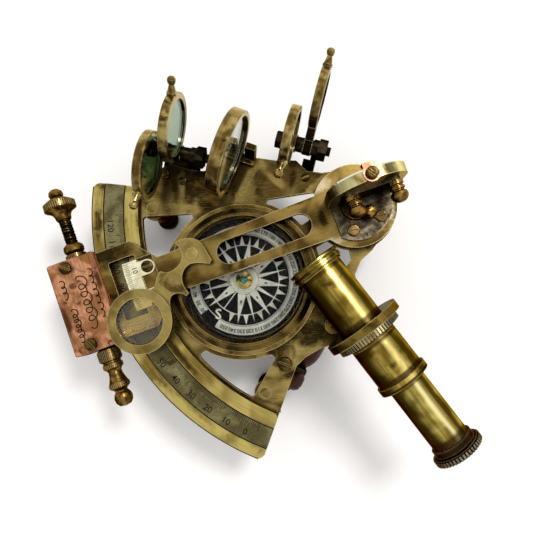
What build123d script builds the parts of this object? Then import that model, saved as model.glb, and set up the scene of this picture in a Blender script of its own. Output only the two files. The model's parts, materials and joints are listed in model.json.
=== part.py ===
from build123d import *
import os
from math import atan2, cos, degrees, radians, sin

# Brass sextant with a built-in compass, in millimetres.
#
# +Z is up. The feet stand on z = 0 and the index pivot is the Z axis.
# The middle of the divided limb points along -Y. Every angle called az is
# measured from +X, anticlockwise seen from above.

# ---------------------------------------------------------------- driving sizes
# heights
leg_height = 23.5
plate_thickness = 2.0
limb_thickness = 1.5
arm_gap = 1.6
arm_thickness = 2.0

# fits
run_fit = 0.05
seat_fit = 0.05
side_gap = 0.3

# limb and its scale
limb_radius = 90.0
limb_width = 16.4
limb_half_span = 38.0
limb_corner = 2.5
scale_margin = 4.3
scale_width = 6.7
scale_depth = 0.4
groove = 0.25
plate_margin = 6.0
rivet_margin = 2.2
rivet_inset = 6.0
rivet_mid = 12.0

# frame plate
boss_radius = 14.6
strut_fillet = 1.2
window_margin = 0.8
window_edge_az = 29.8
centre_strut_az = 11.1
web_reach = 0.75

# compass
compass_x = 0.6
compass_y = -44.8
bowl_radius = 23.2
bowl_wall = 1.4
bowl_depth = 12.0
bowl_floor = 1.2
bowl_flange_radius = 25.8
bowl_flange_thickness = 1.0
glass_thickness = 0.8
bezel_height = 1.4
bezel_radius = 24.4
bezel_opening = 20.8
card_radius = 19.6
card_thickness = 0.6
card_drop = 5.6
cap_radius = 2.7
cap_height = 2.2
jewel_radius = 1.5

# legs
leg_x = 37.2
leg_y = -58.6
foot_radius = 3.9
leg_radius = 2.6
tenon_radius = 1.85

# handle
grip_low = (35.9, -44.7)
grip_high = (23.2, -23.8)
grip_drop = 12.0
grip_radius = 6.2
grip_end_radius = 3.4
grip_knob_radius = 4.8
grip_knob_length = 7.6
handle_rod_radius = 1.6
bracket_thickness = 1.6
bracket_width = 6.6
screw_pad = 3.4
low_screw = (32.5, -47.8)
high_screw = (23.0, -18.6)

# index arm, at rest along arm_az
arm_az = 258.0
head_radius = 14.0
pivot_radius = 3.0
spacer_radius = 7.4
pivot_head_radius = 5.0
pivot_head_height = 0.9
rail_root_half = 8.0
rail_end_half = 6.6
slot_start = 15.5
slot_end = 48.7
slot_half = 4.0
shoulder_length = 7.0
window_half = 10.2
frame_half = 15.0
side_bar_length = 9.2
outer_bar_width = 3.3
outer_bar_margin = 2.5
ledge_length = 5.5
ledge_half = 8.4
ledge_depth = 1.4

# vernier
vernier_gap = 0.15
vernier_overlap = 1.6
vernier_half = 8.4
tab_radius = 2.5
tab_back = 2.8
tab_v = 4.9
vernier_rise = 2.6

# clamp block and tangent screw
block_length = 32.0
block_depth = 16.5
block_half_height = 5.0
block_screw_depth = 1.5
block_screw_inset = 10.3
block_screw_end = 2.6
screw_line_inset = 7.3
rod_radius = 1.7
rod_top = 30.4
knob_radius = 5.2
barrel_radius = 3.2
jaw_width = 18.0
clamp_shaft_radius = 1.6
clamp_head_radius = 4.6
clamp_head_height = 4.0
clamp_drop = 4.0
clamp_shift = 0.4

# magnifier, in arm directions
magnifier_back = 19.1
magnifier_v = -3.1
lens_reach = 23.4
lens_v = 12.0
lens_rim_radius = 10.7
lens_radius = 7.7
magnifier_lift = 2.0
magnifier_thickness = 1.4
lens_rim_height = 2.2

# index mirror, in arm directions
mirror_base_radius = 12.1
mirror_base_shift = (-0.2, -0.3)
mirror_base_end = 7.9
mirror_base_thickness = 1.2
mirror_u = -3.7
mirror_v = -3.6
mirror_arch = 12.7
mirror_height = 23.0
mirror_thickness = 3.2
mirror_rim = 1.0
mirror_glass_thickness = 2.0
bracket_plate = 1.0
thumb_low_u = 2.4
thumb_high_u = -11.4
thumb_z = 12.5
thumb_radius = 2.75
ball_radius = 2.25

# horizon glass
horizon_x = -34.2
horizon_y = -27.0
horizon_az = 127.5
horizon_ring_radius = 13.9
horizon_lens_radius = 12.2
horizon_ring_thickness = 4.2
horizon_centre_rise = 15.5
horizon_foot_length = 19.0
horizon_foot_width = 6.0
horizon_foot_thickness = 1.5
horizon_foot_row = 1.5
horizon_screw_step = 7.4
horizon_screw_row = 2.0
horizon_ear_thickness = 2.8
horizon_glass_thickness = 1.6
finger_tab_height = 8.0
finger_tab_width = 3.6
finger_tab_gap = 0.5

# shades: axle foot point, axle height over the limb, swing angles at rest
horizon_axle = (-44.3, -38.5)
horizon_axle_rise = 5.0
horizon_shade_az = 136.8
horizon_shade_radius = 10.9
horizon_shade_arm = 13.2
horizon_shade_glass = 9.0
horizon_shade_angles = (69.7, 128.0)
horizon_shade_knobs = (45.6, 158.9)
horizon_shade_rows = (-3.0, -8.7)
index_axle = (-26.6, -4.9)
index_axle_rise = 6.0
index_shade_az = 133.0
index_shade_radius = 9.6
index_shade_arm = 15.9
index_shade_glass = 7.9
index_shade_angles = (27.6, 102.0)
index_shade_knobs = (24.6, 159.0)
index_shade_rows = (2.6, -2.5)
horizon_wall_row = 1.5
horizon_foot_holes = [(-7.5, -6.6), (-1.2, -7.6)]
index_wall_row = 4.4
index_foot_holes = [(4.2, -8.3)]
shade_thickness = 2.8
shade_glass_thickness = 1.6
shade_eye_radius = 2.9
axle_radius = 1.5
shade_neck = 3.6
knob_length = 5.4
bolt_collar = 1.6
bolt_head = 2.6
bracket_wall = 1.8
foot_wall = 1.3
horizon_bracket_rows = (-9.4, 3.3)
horizon_bracket_in = -10.0
horizon_bracket_leg = (-2.4, 1.8)
index_bracket_rows = (1.8, 6.2)
index_bracket_in = -11.0
index_bracket_leg = (-4.9, -1.4)
bolt_radius = 2.5
bolt_head_radius = 2.9
bolt_nut_radius = 3.7
bolt_nut_length = 2.8
bolt_tail = 5.9

# telescope
scope_az = 5.5
scope_front = (9.0, -22.7)
scope_rise = 14.0
flange_radius = 8.5
flange_length = 3.7
body_radius = 7.4
holder_at = 24.0
holder_radius = 12.6
holder_thickness = 2.6
nut_radius = 10.4
nut_length = 2.4
mid_radius = 7.75
mid_end = 43.4
ring_radius = 8.45
ring_length = 2.2
draw_radius = 6.05
draw_start = 34.0
draw_end = 67.5
draw_wall = 0.8
cap_eye_radius = 7.65
cap_eye_length = 4.7
cap_neck_radius = 6.75
cap_neck_length = 2.5
holder_foot = (29.5, -23.0)
holder_foot_radius = 7.0
holder_foot_thickness = 1.8
holder_screw_step = 3.4

# screws
screw_head = 2.35
screw_head_height = 1.1
screw_shaft = 1.2
small_head = 1.9
small_shaft = 0.9
arm_head = 2.0
tiny_head = 1.35
tiny_shaft = 0.8

# ---------------------------------------------------------------- derived places
limb_inner_radius = limb_radius - limb_width
scale_outer_radius = limb_radius - scale_margin
scale_inner_radius = scale_outer_radius - scale_width
plate_reach = limb_radius - plate_margin
window_radius = limb_inner_radius - window_margin
outer_bar_end = limb_radius - outer_bar_margin
outer_bar_start = outer_bar_end - outer_bar_width
shoulder_end = outer_bar_start - side_bar_length
neck_end = shoulder_end - shoulder_length
ledge_start = shoulder_end - ledge_length
vernier_reach = scale_inner_radius + vernier_overlap
tab_u = shoulder_end - tab_back
magnifier_u = shoulder_end - magnifier_back
lens_u = magnifier_u + lens_reach
screw_line = outer_bar_end + screw_line_inset
block_screw_u = outer_bar_end + block_screw_inset
block_screw_v = block_length / 2 - block_screw_end
jaw_reach = plate_reach + 2 * side_gap
clamp_u = (jaw_reach + limb_radius) / 2 + clamp_shift
plate_bottom = leg_height
plate_top = plate_bottom + plate_thickness
limb_top = plate_top + limb_thickness
arm_bottom = limb_top + arm_gap
arm_top = arm_bottom + arm_thickness
scope_z = limb_top + scope_rise
grip_z = plate_bottom - grip_drop
bezel_base = plate_top + bowl_flange_thickness
bezel_top = bezel_base + bezel_height
magnifier_z = arm_top + magnifier_lift
base_top = arm_top + mirror_base_thickness

UP = (0, 0, 1)


def heading(az):
    return Vector(cos(radians(az)), sin(radians(az)), 0)


def flat(z, az=0.0, at=(0.0, 0.0)):
    """A level plane at height z, its x axis along az."""
    return Plane(origin=(at[0], at[1], z), x_dir=heading(az), z_dir=UP)


def facing(origin, az):
    """An upright plane: x runs level along az, y runs up."""
    return Plane(origin=origin, x_dir=heading(az), z_dir=heading(az - 90))


def across(origin, az):
    """A plane square to the level direction az, y runs up."""
    return Plane(origin=origin, x_dir=heading(az + 90), z_dir=heading(az))


def on_arm(u, v, z):
    """A point in the frame from the arm's own directions."""
    place = heading(arm_az) * u + heading(arm_az + 90) * v
    return Vector(place.X, place.Y, z)


def save(piece, label):
    piece.label = label
    export_step(piece, f"parts/{label}.step")


def turned(plane, profile, sector=360.0):
    """A turned piece: profile is (radius, height) points up the plane's z."""
    with BuildPart() as spin:
        with BuildSketch(Plane(plane.origin, x_dir=plane.x_dir, z_dir=-plane.y_dir)):
            with BuildLine():
                Polyline(*profile, close=True)
            make_face()
        revolve(axis=Axis(plane.origin, plane.z_dir), revolution_arc=sector)
    return spin.part


def slotted_screw(plane, head_radius, head_height, shaft_radius, shaft_length, turn=20.0):
    """A round-head screw whose head sits on the plane and whose shaft goes down."""
    with BuildPart() as screw:
        with BuildSketch(plane):
            Circle(head_radius)
        extrude(amount=head_height)
        fillet(screw.edges().group_by(SortBy.LENGTH)[-1].sort_by(Axis(plane.origin, plane.z_dir))[-1],
               head_height * 0.55)
        with BuildSketch(plane.offset(head_height)):
            Rectangle(2.2 * head_radius, 0.22 * head_radius, rotation=turn)
        extrude(amount=-0.45 * head_height, mode=Mode.SUBTRACT)
        with BuildSketch(plane):
            Circle(shaft_radius)
        extrude(amount=-shaft_length)
    return screw.part


os.makedirs("parts", exist_ok=True)

# ---------------------------------------------------------------- frame plate
limb_start = 270 - limb_half_span
limb_stop = 270 + limb_half_span
compass_at = (compass_x, compass_y)
bowl_hole_radius = bowl_radius + seat_fit
horizon_normal = heading(horizon_az - 90)
horizon_along = heading(horizon_az)
leg_places = [(-leg_x, leg_y), (leg_x, leg_y)]



def foot_spots(axle, az, holes):
    """Screw places of a shade bracket, given as (row, step) from its axle."""
    return [Vector(*axle) + heading(az - 90) * row + heading(az) * step for row, step in holes]


shade_foot_screws = [
    *foot_spots(horizon_axle, horizon_shade_az, horizon_foot_holes),
    *foot_spots(index_axle, index_shade_az, index_foot_holes),
]
glass_foot_screws = [
    Vector(horizon_x, horizon_y) + horizon_along * step - horizon_normal * horizon_screw_row
    for step in (-horizon_screw_step, horizon_screw_step)
]
plate_screw_spots = [
    Vector(*low_screw),
    Vector(*high_screw),
    *glass_foot_screws,
]
holder_screw_spots = [
    Vector(*holder_foot) + heading(scope_az + 90) * step for step in (-holder_screw_step, holder_screw_step)
]
limb_rivet_turns = (rivet_inset - limb_half_span, -rivet_mid, rivet_mid, limb_half_span - rivet_inset)
limb_rivet_spots = [heading(270 + turn) * (plate_reach - rivet_margin) for turn in limb_rivet_turns]

with BuildPart() as frame_plate:
    with BuildSketch(Plane.XY.offset(plate_bottom)) as outline:
        with BuildLine():
            left_edge = Polyline(
                (-11.0, 9.0), (-16.2, -2.4), (-19.5, -6.5), (-24.6, -7.6), (-28.4, -13.6),
                (-33.6, -19.6), (-36.8, -26.5), (-38.6, -36.6), (-41.6, -40.4), (-47.2, -45.2),
                (-47.6, -51.0), heading(limb_start - 0.6) * limb_inner_radius,
            )
            right_edge = Polyline(
                heading(limb_stop + 0.3) * limb_inner_radius, (39.4, -53.2), (36.8, -49.6),
                (35.2, -45.4), (34.2, -40.6), (34.4, -34.6), (36.4, -27.5), (35.8, -20.5),
                (30.5, -15.6), (23.1, -13.1), (19.4, -11.6), (16.5, -7.4), (15.6, -2.4), (11.0, 9.0),
            )
            Line(left_edge @ 1, right_edge @ 0)
            Line(right_edge @ 1, left_edge @ 0)
        make_face()
        Circle(boss_radius)
        with BuildSketch(mode=Mode.PRIVATE) as under_limb:
            Circle(plate_reach)
            with BuildLine():
                ray_length = 2 * limb_radius
                Polyline(
                    (0, 0), heading(limb_start) * ray_length,
                    (0, -ray_length), heading(limb_stop) * ray_length, close=True,
                )
            make_face(mode=Mode.INTERSECT)
            Circle(web_reach * limb_inner_radius, mode=Mode.SUBTRACT)
        add(under_limb.sketch)
        # the pair of big windows under the compass
        for side in (-1, 1):
            with BuildSketch(mode=Mode.PRIVATE) as big_window:
                Circle(window_radius)
                with BuildLine():
                    Polyline(
                        (side * 13.0, -60.0), heading(270 + side * centre_strut_az) * limb_radius,
                        heading(270 + side * window_edge_az) * limb_radius,
                        (side * 25.9, -43.8), (side * 20.0, -48.2), close=True,
                    )
                make_face(mode=Mode.INTERSECT)
                with Locations(compass_at):
                    Circle(bowl_flange_radius + 1.5, mode=Mode.SUBTRACT)
                fillet(big_window.vertices(), strut_fillet)
            add(big_window.sketch, mode=Mode.SUBTRACT)
        # the pair of small windows beside the pivot boss
        for side, outer_edge in ((-1, ((-11.2, -6.4), (-18.4, -23.0))),
                                 (1, ((9.4, -8.0), (14.4, -9.8), (19.8, -23.4)))):
            with BuildSketch(mode=Mode.PRIVATE) as small_window:
                with BuildLine():
                    Polyline(
                        (side * 4.6, -20.0), (side * 4.6, -13.0), *outer_edge,
                        (side * 15.0, -28.0), close=True,
                    )
                make_face()
                Circle(boss_radius - 0.4, mode=Mode.SUBTRACT)
                with Locations(compass_at):
                    Circle(bowl_flange_radius + 1.5, mode=Mode.SUBTRACT)
                fillet(small_window.vertices(), 0.6)
            add(small_window.sketch, mode=Mode.SUBTRACT)
        with Locations(compass_at):
            Circle(bowl_hole_radius, mode=Mode.SUBTRACT)
        Circle(pivot_radius + seat_fit, mode=Mode.SUBTRACT)
        with Locations(*leg_places):
            Circle(tenon_radius + seat_fit, mode=Mode.SUBTRACT)
        with Locations(*plate_screw_spots, *holder_screw_spots):
            Circle(screw_shaft + seat_fit, mode=Mode.SUBTRACT)
        with Locations(*limb_rivet_spots):
            Circle(small_shaft + seat_fit, mode=Mode.SUBTRACT)
        with Locations(*shade_foot_screws):
            Circle(tiny_shaft + seat_fit, mode=Mode.SUBTRACT)
    extrude(amount=plate_thickness)
save(frame_plate.part, "frame_plate")

# ---------------------------------------------------------------- limb and scale
def limb_sector(outer, inner, trim=0.0):
    """The ring sector that spans the limb, less trim at each end."""
    with BuildSketch() as sector:
        Circle(outer)
        with BuildLine():
            Polyline(
                (0, 0), heading(limb_start + trim) * 2 * outer, (0, -2 * outer),
                heading(limb_stop - trim) * 2 * outer, close=True,
            )
        make_face(mode=Mode.INTERSECT)
        Circle(inner, mode=Mode.SUBTRACT)
    return sector.sketch


with BuildPart() as limb:
    with BuildSketch(Plane.XY.offset(plate_top)) as limb_shape:
        add(limb_sector(limb_radius, limb_inner_radius))
        fillet(limb_shape.vertices(), limb_corner)
    extrude(amount=limb_thickness)
    chamfer(limb.faces().sort_by(Axis.Z)[-1].edges(), 0.3)
    with BuildSketch(Plane.XY.offset(limb_top)):
        add(limb_sector(scale_outer_radius + groove, scale_inner_radius - groove))
    extrude(amount=-scale_depth, mode=Mode.SUBTRACT)
    with BuildSketch(Plane.XY.offset(plate_top)):
        with Locations(*limb_rivet_spots):
            Circle(small_shaft + seat_fit)
    extrude(amount=limb_thickness - scale_depth - 0.3, mode=Mode.SUBTRACT)
save(limb.part, "limb")

with BuildPart() as degree_scale:
    with BuildSketch(Plane.XY.offset(limb_top - scale_depth)):
        add(limb_sector(scale_outer_radius, scale_inner_radius))
    extrude(amount=scale_depth)
save(degree_scale.part, "degree_scale")

rivet_head_height = 0.8
with BuildPart() as limb_rivets:
    for spot in limb_rivet_spots:
        add(turned(flat(plate_bottom, 0, (spot.X, spot.Y)), [
            (0, -rivet_head_height), (1.2, -rivet_head_height), (small_head, -0.2),
            (small_head, 0), (small_shaft, 0),
            (small_shaft, plate_thickness + limb_thickness - scale_depth - 0.4),
            (0, plate_thickness + limb_thickness - scale_depth - 0.4),
        ]))
save(limb_rivets.part, "limb_rivets")

# ---------------------------------------------------------------- legs
leg_profile = [
    (0, 0), (foot_radius - 1.0, 0), (foot_radius, 0.8), (foot_radius, 2.6), (foot_radius - 0.9, 4.0),
    (leg_radius - 0.5, 5.6), (leg_radius - 0.5, 7.0), (leg_radius + 0.5, 8.2),
    (leg_radius, 10.4), (leg_radius, leg_height - 3.0), (leg_radius + 1.2, leg_height - 1.8),
    (leg_radius + 1.2, leg_height),
]
pin_tail = 9.0
tail_radius = 2.0
with BuildPart() as legs:
    for spot in leg_places:
        add(turned(flat(0, 0, spot), leg_profile + [
            (tenon_radius, leg_height), (tenon_radius, plate_top + 0.1), (0, plate_top + 0.1),
        ]))
    add(turned(flat(0), leg_profile + [(0, leg_height)]))
    with BuildSketch(Plane.XY.offset(leg_height)):
        Circle(tail_radius + seat_fit)
    extrude(amount=-pin_tail, mode=Mode.SUBTRACT)
save(legs.part, "legs")

# ---------------------------------------------------------------- pivot
with BuildPart() as pivot_pin:
    add(turned(flat(0), [
        (0, leg_height - pin_tail + 0.4), (tail_radius, leg_height - pin_tail + 0.4),
        (tail_radius, plate_bottom), (pivot_radius, plate_bottom),
        (pivot_radius, arm_top + run_fit), (pivot_head_radius, arm_top + run_fit),
        (pivot_head_radius, arm_top + pivot_head_height - 0.3),
        (pivot_head_radius - 0.3, arm_top + pivot_head_height), (0, arm_top + pivot_head_height),
    ]))
save(pivot_pin.part, "pivot_pin")

with BuildPart() as pivot_spacer:
    with BuildSketch(Plane.XY.offset(plate_top)):
        Circle(spacer_radius)
        Circle(pivot_radius + seat_fit, mode=Mode.SUBTRACT)
    extrude(amount=arm_bottom - run_fit - plate_top)
save(pivot_spacer.part, "pivot_spacer")

# ---------------------------------------------------------------- compass
bowl_bottom = plate_top - bowl_depth
glass_seat = bezel_base - glass_thickness
bowl_inner = bowl_radius - bowl_wall
card_z = limb_top - card_drop
with BuildPart() as compass_bowl:
    add(turned(flat(0, 0, compass_at), [
        (0, bowl_bottom), (bowl_radius - 1.0, bowl_bottom), (bowl_radius, bowl_bottom + 1.0),
        (bowl_radius, plate_top), (bowl_flange_radius, plate_top), (bowl_flange_radius, bezel_base),
        (bowl_inner, bezel_base), (bowl_inner, glass_seat), (bowl_inner - 1.0, glass_seat),
        (bowl_inner - 1.0, bowl_bottom + bowl_floor), (1.6, bowl_bottom + bowl_floor),
        (1.6, bowl_bottom + bowl_floor + 1.6), (0, bowl_bottom + bowl_floor + 1.6),
    ]))
save(compass_bowl.part, "compass_bowl")

with BuildPart() as compass_glass:
    with BuildSketch(flat(glass_seat, 0, compass_at)):
        Circle(bowl_inner - seat_fit)
    extrude(amount=glass_thickness)
save(compass_glass.part, "compass_glass")

with BuildPart() as compass_bezel:
    add(turned(flat(0, 0, compass_at), [
        (bezel_opening, bezel_base), (bezel_radius, bezel_base), (bezel_radius, bezel_base + 0.4),
        (bezel_radius - 1.9, bezel_top), (bezel_radius - 2.7, bezel_top),
        (bezel_opening, bezel_base + 0.4),
    ]))
save(compass_bezel.part, "compass_bezel")

needle_base = bowl_bottom + bowl_floor + 1.6
with BuildPart() as compass_needle:
    add(turned(flat(0, 0, compass_at), [
        (0, needle_base), (0.6, needle_base), (0.6, card_z - 0.6), (0.15, card_z + 0.7),
        (0, card_z + 0.7),
    ]))
save(compass_needle.part, "compass_needle")

hub_hole = 1.0
with BuildPart() as compass_card:
    with BuildSketch(flat(card_z - card_thickness, 0, compass_at)):
        Circle(card_radius)
        Circle(hub_hole, mode=Mode.SUBTRACT)
    extrude(amount=card_thickness)
save(compass_card.part, "compass_card")

with BuildPart() as compass_cap:
    add(turned(flat(0, 0, compass_at), [
        (0.75, card_z), (5.0, card_z), (5.0, card_z + 0.3), (cap_radius, card_z + 0.3),
        (cap_radius, card_z + cap_height - 0.6), (jewel_radius, card_z + cap_height),
        (jewel_radius, card_z + cap_height - 0.8), (0, card_z + cap_height - 0.8),
        (0, card_z + 0.9), (0.3, card_z + 0.9),
    ]))
save(compass_cap.part, "compass_cap")

with BuildPart() as compass_jewel:
    add(turned(flat(card_z + cap_height - 0.8, 0, compass_at), [
        (0, 0), (jewel_radius - seat_fit, 0), (jewel_radius - seat_fit, 0.7), (1.15, 1.2),
        (0.65, 1.48), (0, 1.58),
    ]))
save(compass_jewel.part, "compass_jewel")

# ---------------------------------------------------------------- handle
grip_line = Vector(*grip_high) - Vector(*grip_low)
grip_az = degrees(atan2(grip_line.Y, grip_line.X))
grip_length = grip_line.length
grip_plane = across((grip_low[0], grip_low[1], grip_z), grip_az)
rod_hole = handle_rod_radius + 2 * seat_fit
with BuildPart() as handle_grip:
    with BuildSketch(Plane(grip_plane.origin, x_dir=UP, z_dir=heading(grip_az + 90))):
        with BuildLine():
            Line((rod_hole, 0), (grip_end_radius, 0))
            Spline((grip_end_radius, 0), (grip_radius - 0.9, 0.12 * grip_length),
                   (grip_radius, 0.36 * grip_length), (grip_radius - 0.9, 0.74 * grip_length),
                   (grip_end_radius, grip_length))
            Line((grip_end_radius, grip_length), (rod_hole, grip_length))
            Line((rod_hole, grip_length), (rod_hole, 0))
        make_face()
    revolve(axis=Axis(grip_plane.origin, grip_plane.z_dir))
save(handle_grip.part, "handle_grip")


def handle_bracket(end, screw_at, outward):
    """An angle bracket: an upright ear on the grip's end and a foot under the plate."""
    ear_plane = across((end[0], end[1], grip_z), grip_az)
    ear_step = bracket_thickness * outward
    foot = Vector(*screw_at) - Vector(*end)
    foot_along = foot.dot(heading(grip_az))
    foot_side = foot.dot(heading(grip_az + 90))
    with BuildPart() as bracket:
        with BuildSketch(ear_plane):
            Circle(bracket_width / 2)
            with Locations((0, grip_drop / 2)):
                Rectangle(bracket_width, grip_drop)
            Circle(handle_rod_radius + seat_fit, mode=Mode.SUBTRACT)
        extrude(amount=ear_step)
        foot_level = flat(plate_bottom - bracket_thickness, grip_az, end)
        with BuildSketch(foot_level):
            with Locations((foot_along, foot_side)):
                Circle(screw_pad)
            with BuildLine():
                Polyline(
                    (0, -bracket_width / 2), (0, bracket_width / 2),
                    (foot_along, foot_side + screw_pad), (foot_along, foot_side - screw_pad), close=True,
                )
            make_face()
            with Locations((ear_step / 2, 0)):
                Rectangle(abs(ear_step), bracket_width)
            with Locations((foot_along, foot_side)):
                Circle(screw_shaft + seat_fit, mode=Mode.SUBTRACT)
        extrude(amount=bracket_thickness)
    return bracket.part


with BuildPart() as handle_brackets:
    add(handle_bracket(grip_low, low_screw, -1))
    add(handle_bracket(grip_high, high_screw, 1))
save(handle_brackets.part, "handle_brackets")

rod_end = 1.2
with BuildPart() as handle_rod:
    add(turned(grip_plane, [
        (0, -bracket_thickness - grip_knob_length - rod_end),
        (1.1, -bracket_thickness - grip_knob_length - rod_end),
        (handle_rod_radius, -bracket_thickness - grip_knob_length - 0.7 * rod_end),
        (handle_rod_radius, grip_length + bracket_thickness),
        (2.9, grip_length + bracket_thickness), (2.9, grip_length + bracket_thickness + 0.9),
        (2.2, grip_length + bracket_thickness + 1.5), (0, grip_length + bracket_thickness + 1.5),
    ]))
save(handle_rod.part, "handle_rod")

with BuildPart() as handle_knob:
    add(turned(grip_plane, [
        (rod_hole, -bracket_thickness), (3.1, -bracket_thickness), (3.3, -bracket_thickness - 0.6),
        (grip_knob_radius - 0.6, -bracket_thickness - 1.4),
        (grip_knob_radius, -bracket_thickness - 2.6),
        (grip_knob_radius, -bracket_thickness - 0.66 * grip_knob_length),
        (grip_knob_radius - 0.5, -bracket_thickness - 0.88 * grip_knob_length),
        (grip_knob_radius - 1.6, -bracket_thickness - grip_knob_length),
        (rod_hole, -bracket_thickness - grip_knob_length),
    ]))
save(handle_knob.part, "handle_knob")

with BuildPart() as handle_screws:
    for spot in (low_screw, high_screw):
        add(slotted_screw(flat(plate_top, 0, spot), screw_head, screw_head_height, screw_shaft,
                          plate_thickness + bracket_thickness, 35.0))
save(handle_screws.part, "handle_screws")

# ---------------------------------------------------------------- horizon glass
horizon_z = limb_top + horizon_centre_rise
horizon_plane = facing((horizon_x, horizon_y, horizon_z), horizon_az)
foot_top = plate_top + horizon_foot_thickness
ring_low = horizon_centre_rise + limb_thickness
ear_half = 5.0
ear_half_top = 7.4
ear_rise = 8.0
tab_foot = (2.4, 5.4)
tab_lean = 2.3
tab_wall = 2.0
tab_row = horizon_ring_thickness / 2 + finger_tab_gap
with BuildPart() as horizon_bracket:
    with BuildSketch(flat(plate_top, horizon_az, (horizon_x, horizon_y))):
        with Locations((0, horizon_foot_row)):
            RectangleRounded(horizon_foot_length, horizon_foot_width, 1.0)
        with Locations(((tab_foot[0] + tab_foot[1]) / 2, -(tab_row + finger_tab_width) / 2)):
            Rectangle(tab_foot[1] - tab_foot[0], tab_row + finger_tab_width)
        with Locations((-horizon_screw_step, horizon_screw_row), (horizon_screw_step, horizon_screw_row)):
            Circle(screw_shaft + seat_fit, mode=Mode.SUBTRACT)
    extrude(amount=horizon_foot_thickness)
    with BuildSketch(facing((horizon_x, horizon_y, plate_top), horizon_az).offset(tab_row)):
        with BuildLine():
            Polyline(
                (tab_foot[1] - tab_wall, 0), (tab_foot[1], 0), (tab_foot[1] + tab_lean, finger_tab_height),
                (tab_foot[1] + tab_lean - tab_wall, finger_tab_height), close=True,
            )
        make_face()
    extrude(amount=finger_tab_width)
    with BuildSketch(horizon_plane.offset(horizon_ear_thickness / 2)):
        with BuildLine():
            Polyline(
                (-ear_half, 1.0 - ring_low), (ear_half, 1.0 - ring_low), (ear_half_top, -ear_rise),
                (-ear_half_top, -ear_rise), close=True,
            )
        make_face()
        Circle(horizon_ring_radius + seat_fit, mode=Mode.SUBTRACT)
    extrude(amount=-horizon_ear_thickness)
save(horizon_bracket.part, "horizon_bracket")

half_ring = horizon_ring_thickness / 2
with BuildPart() as horizon_ring:
    with BuildSketch(horizon_plane.offset(-half_ring)):
        Circle(horizon_ring_radius)
        Circle(horizon_lens_radius, mode=Mode.SUBTRACT)
    extrude(amount=horizon_ring_thickness)
    chamfer(horizon_ring.edges().filter_by(GeomType.CIRCLE), 0.25)
    with BuildSketch(horizon_plane.offset(-0.6)):
        Circle(horizon_lens_radius + 0.1)
        Circle(horizon_lens_radius - 0.8, mode=Mode.SUBTRACT)
    extrude(amount=-0.6)
save(horizon_ring.part, "horizon_ring")

with BuildPart() as horizon_glass:
    with BuildSketch(horizon_plane.offset(-0.6)):
        Circle(horizon_lens_radius - seat_fit)
    extrude(amount=horizon_glass_thickness)
save(horizon_glass.part, "horizon_glass")

# ---------------------------------------------------------------- shade sets
def shade_parts(name, axle, rise, az, ring, arm, glass, angle, knob, row):
    """One swinging shade: a ring on a short arm with a turned finger knob, and its glass."""
    along = heading(az)
    origin = Vector(axle[0], axle[1], limb_top + rise) + heading(az - 90) * row
    plane = facing(origin, az)
    centre = (arm * cos(radians(angle)), arm * sin(radians(angle)))
    with BuildPart() as holder:
        with BuildSketch(plane.offset(-shade_thickness / 2)):
            with Locations(centre):
                Circle(ring)
            Circle(shade_eye_radius)
            with Locations((centre[0] / 2, centre[1] / 2)):
                Rectangle(arm, shade_neck, rotation=angle)
            with Locations(centre):
                Circle(glass, mode=Mode.SUBTRACT)
            Circle(axle_radius + run_fit, mode=Mode.SUBTRACT)
        extrude(amount=shade_thickness)
        chamfer(holder.edges().filter_by(GeomType.CIRCLE).filter_by(lambda e: e.radius > ring - 0.1), 0.2)
        with BuildSketch(plane.offset(-shade_glass_thickness / 2)):
            with Locations(centre):
                Circle(glass + 0.1)
                Circle(glass - 0.6, mode=Mode.SUBTRACT)
        extrude(amount=-(shade_thickness - shade_glass_thickness) / 2)
        tip = along * (cos(radians(knob))) + Vector(*UP) * sin(radians(knob))
        middle = origin + along * centre[0] + Vector(*UP) * centre[1]
        stem = Plane(origin=middle + tip * (ring - 0.5), x_dir=heading(az - 90), z_dir=tip)
        add(turned(stem, [
            (0, 0), (1.6, 0), (1.6, 1.0), (1.3, 1.4), (0.85, knob_length - 2.0),
            (1.15, knob_length - 1.6), (1.35, knob_length - 0.9), (1.3, knob_length - 0.3),
            (0.85, knob_length + 0.3), (0, knob_length + 0.5),
        ]))
    save(holder.part, f"{name}_ring")
    with BuildPart() as pane:
        with BuildSketch(plane.offset(-shade_glass_thickness / 2)):
            with Locations(centre):
                Circle(glass - seat_fit)
        extrude(amount=shade_glass_thickness)
    save(pane.part, f"{name}_glass")


horizon_names = ("horizon_shade_pale", "horizon_shade_dark")
index_names = ("index_shade_pale", "index_shade_dark")
for place in range(2):
    shade_parts(horizon_names[place], horizon_axle, horizon_axle_rise, horizon_shade_az,
                horizon_shade_radius, horizon_shade_arm, horizon_shade_glass,
                horizon_shade_angles[place], horizon_shade_knobs[place], horizon_shade_rows[place])
    shade_parts(index_names[place], index_axle, index_axle_rise, index_shade_az,
                index_shade_radius, index_shade_arm, index_shade_glass,
                index_shade_angles[place], index_shade_knobs[place], index_shade_rows[place])


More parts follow.
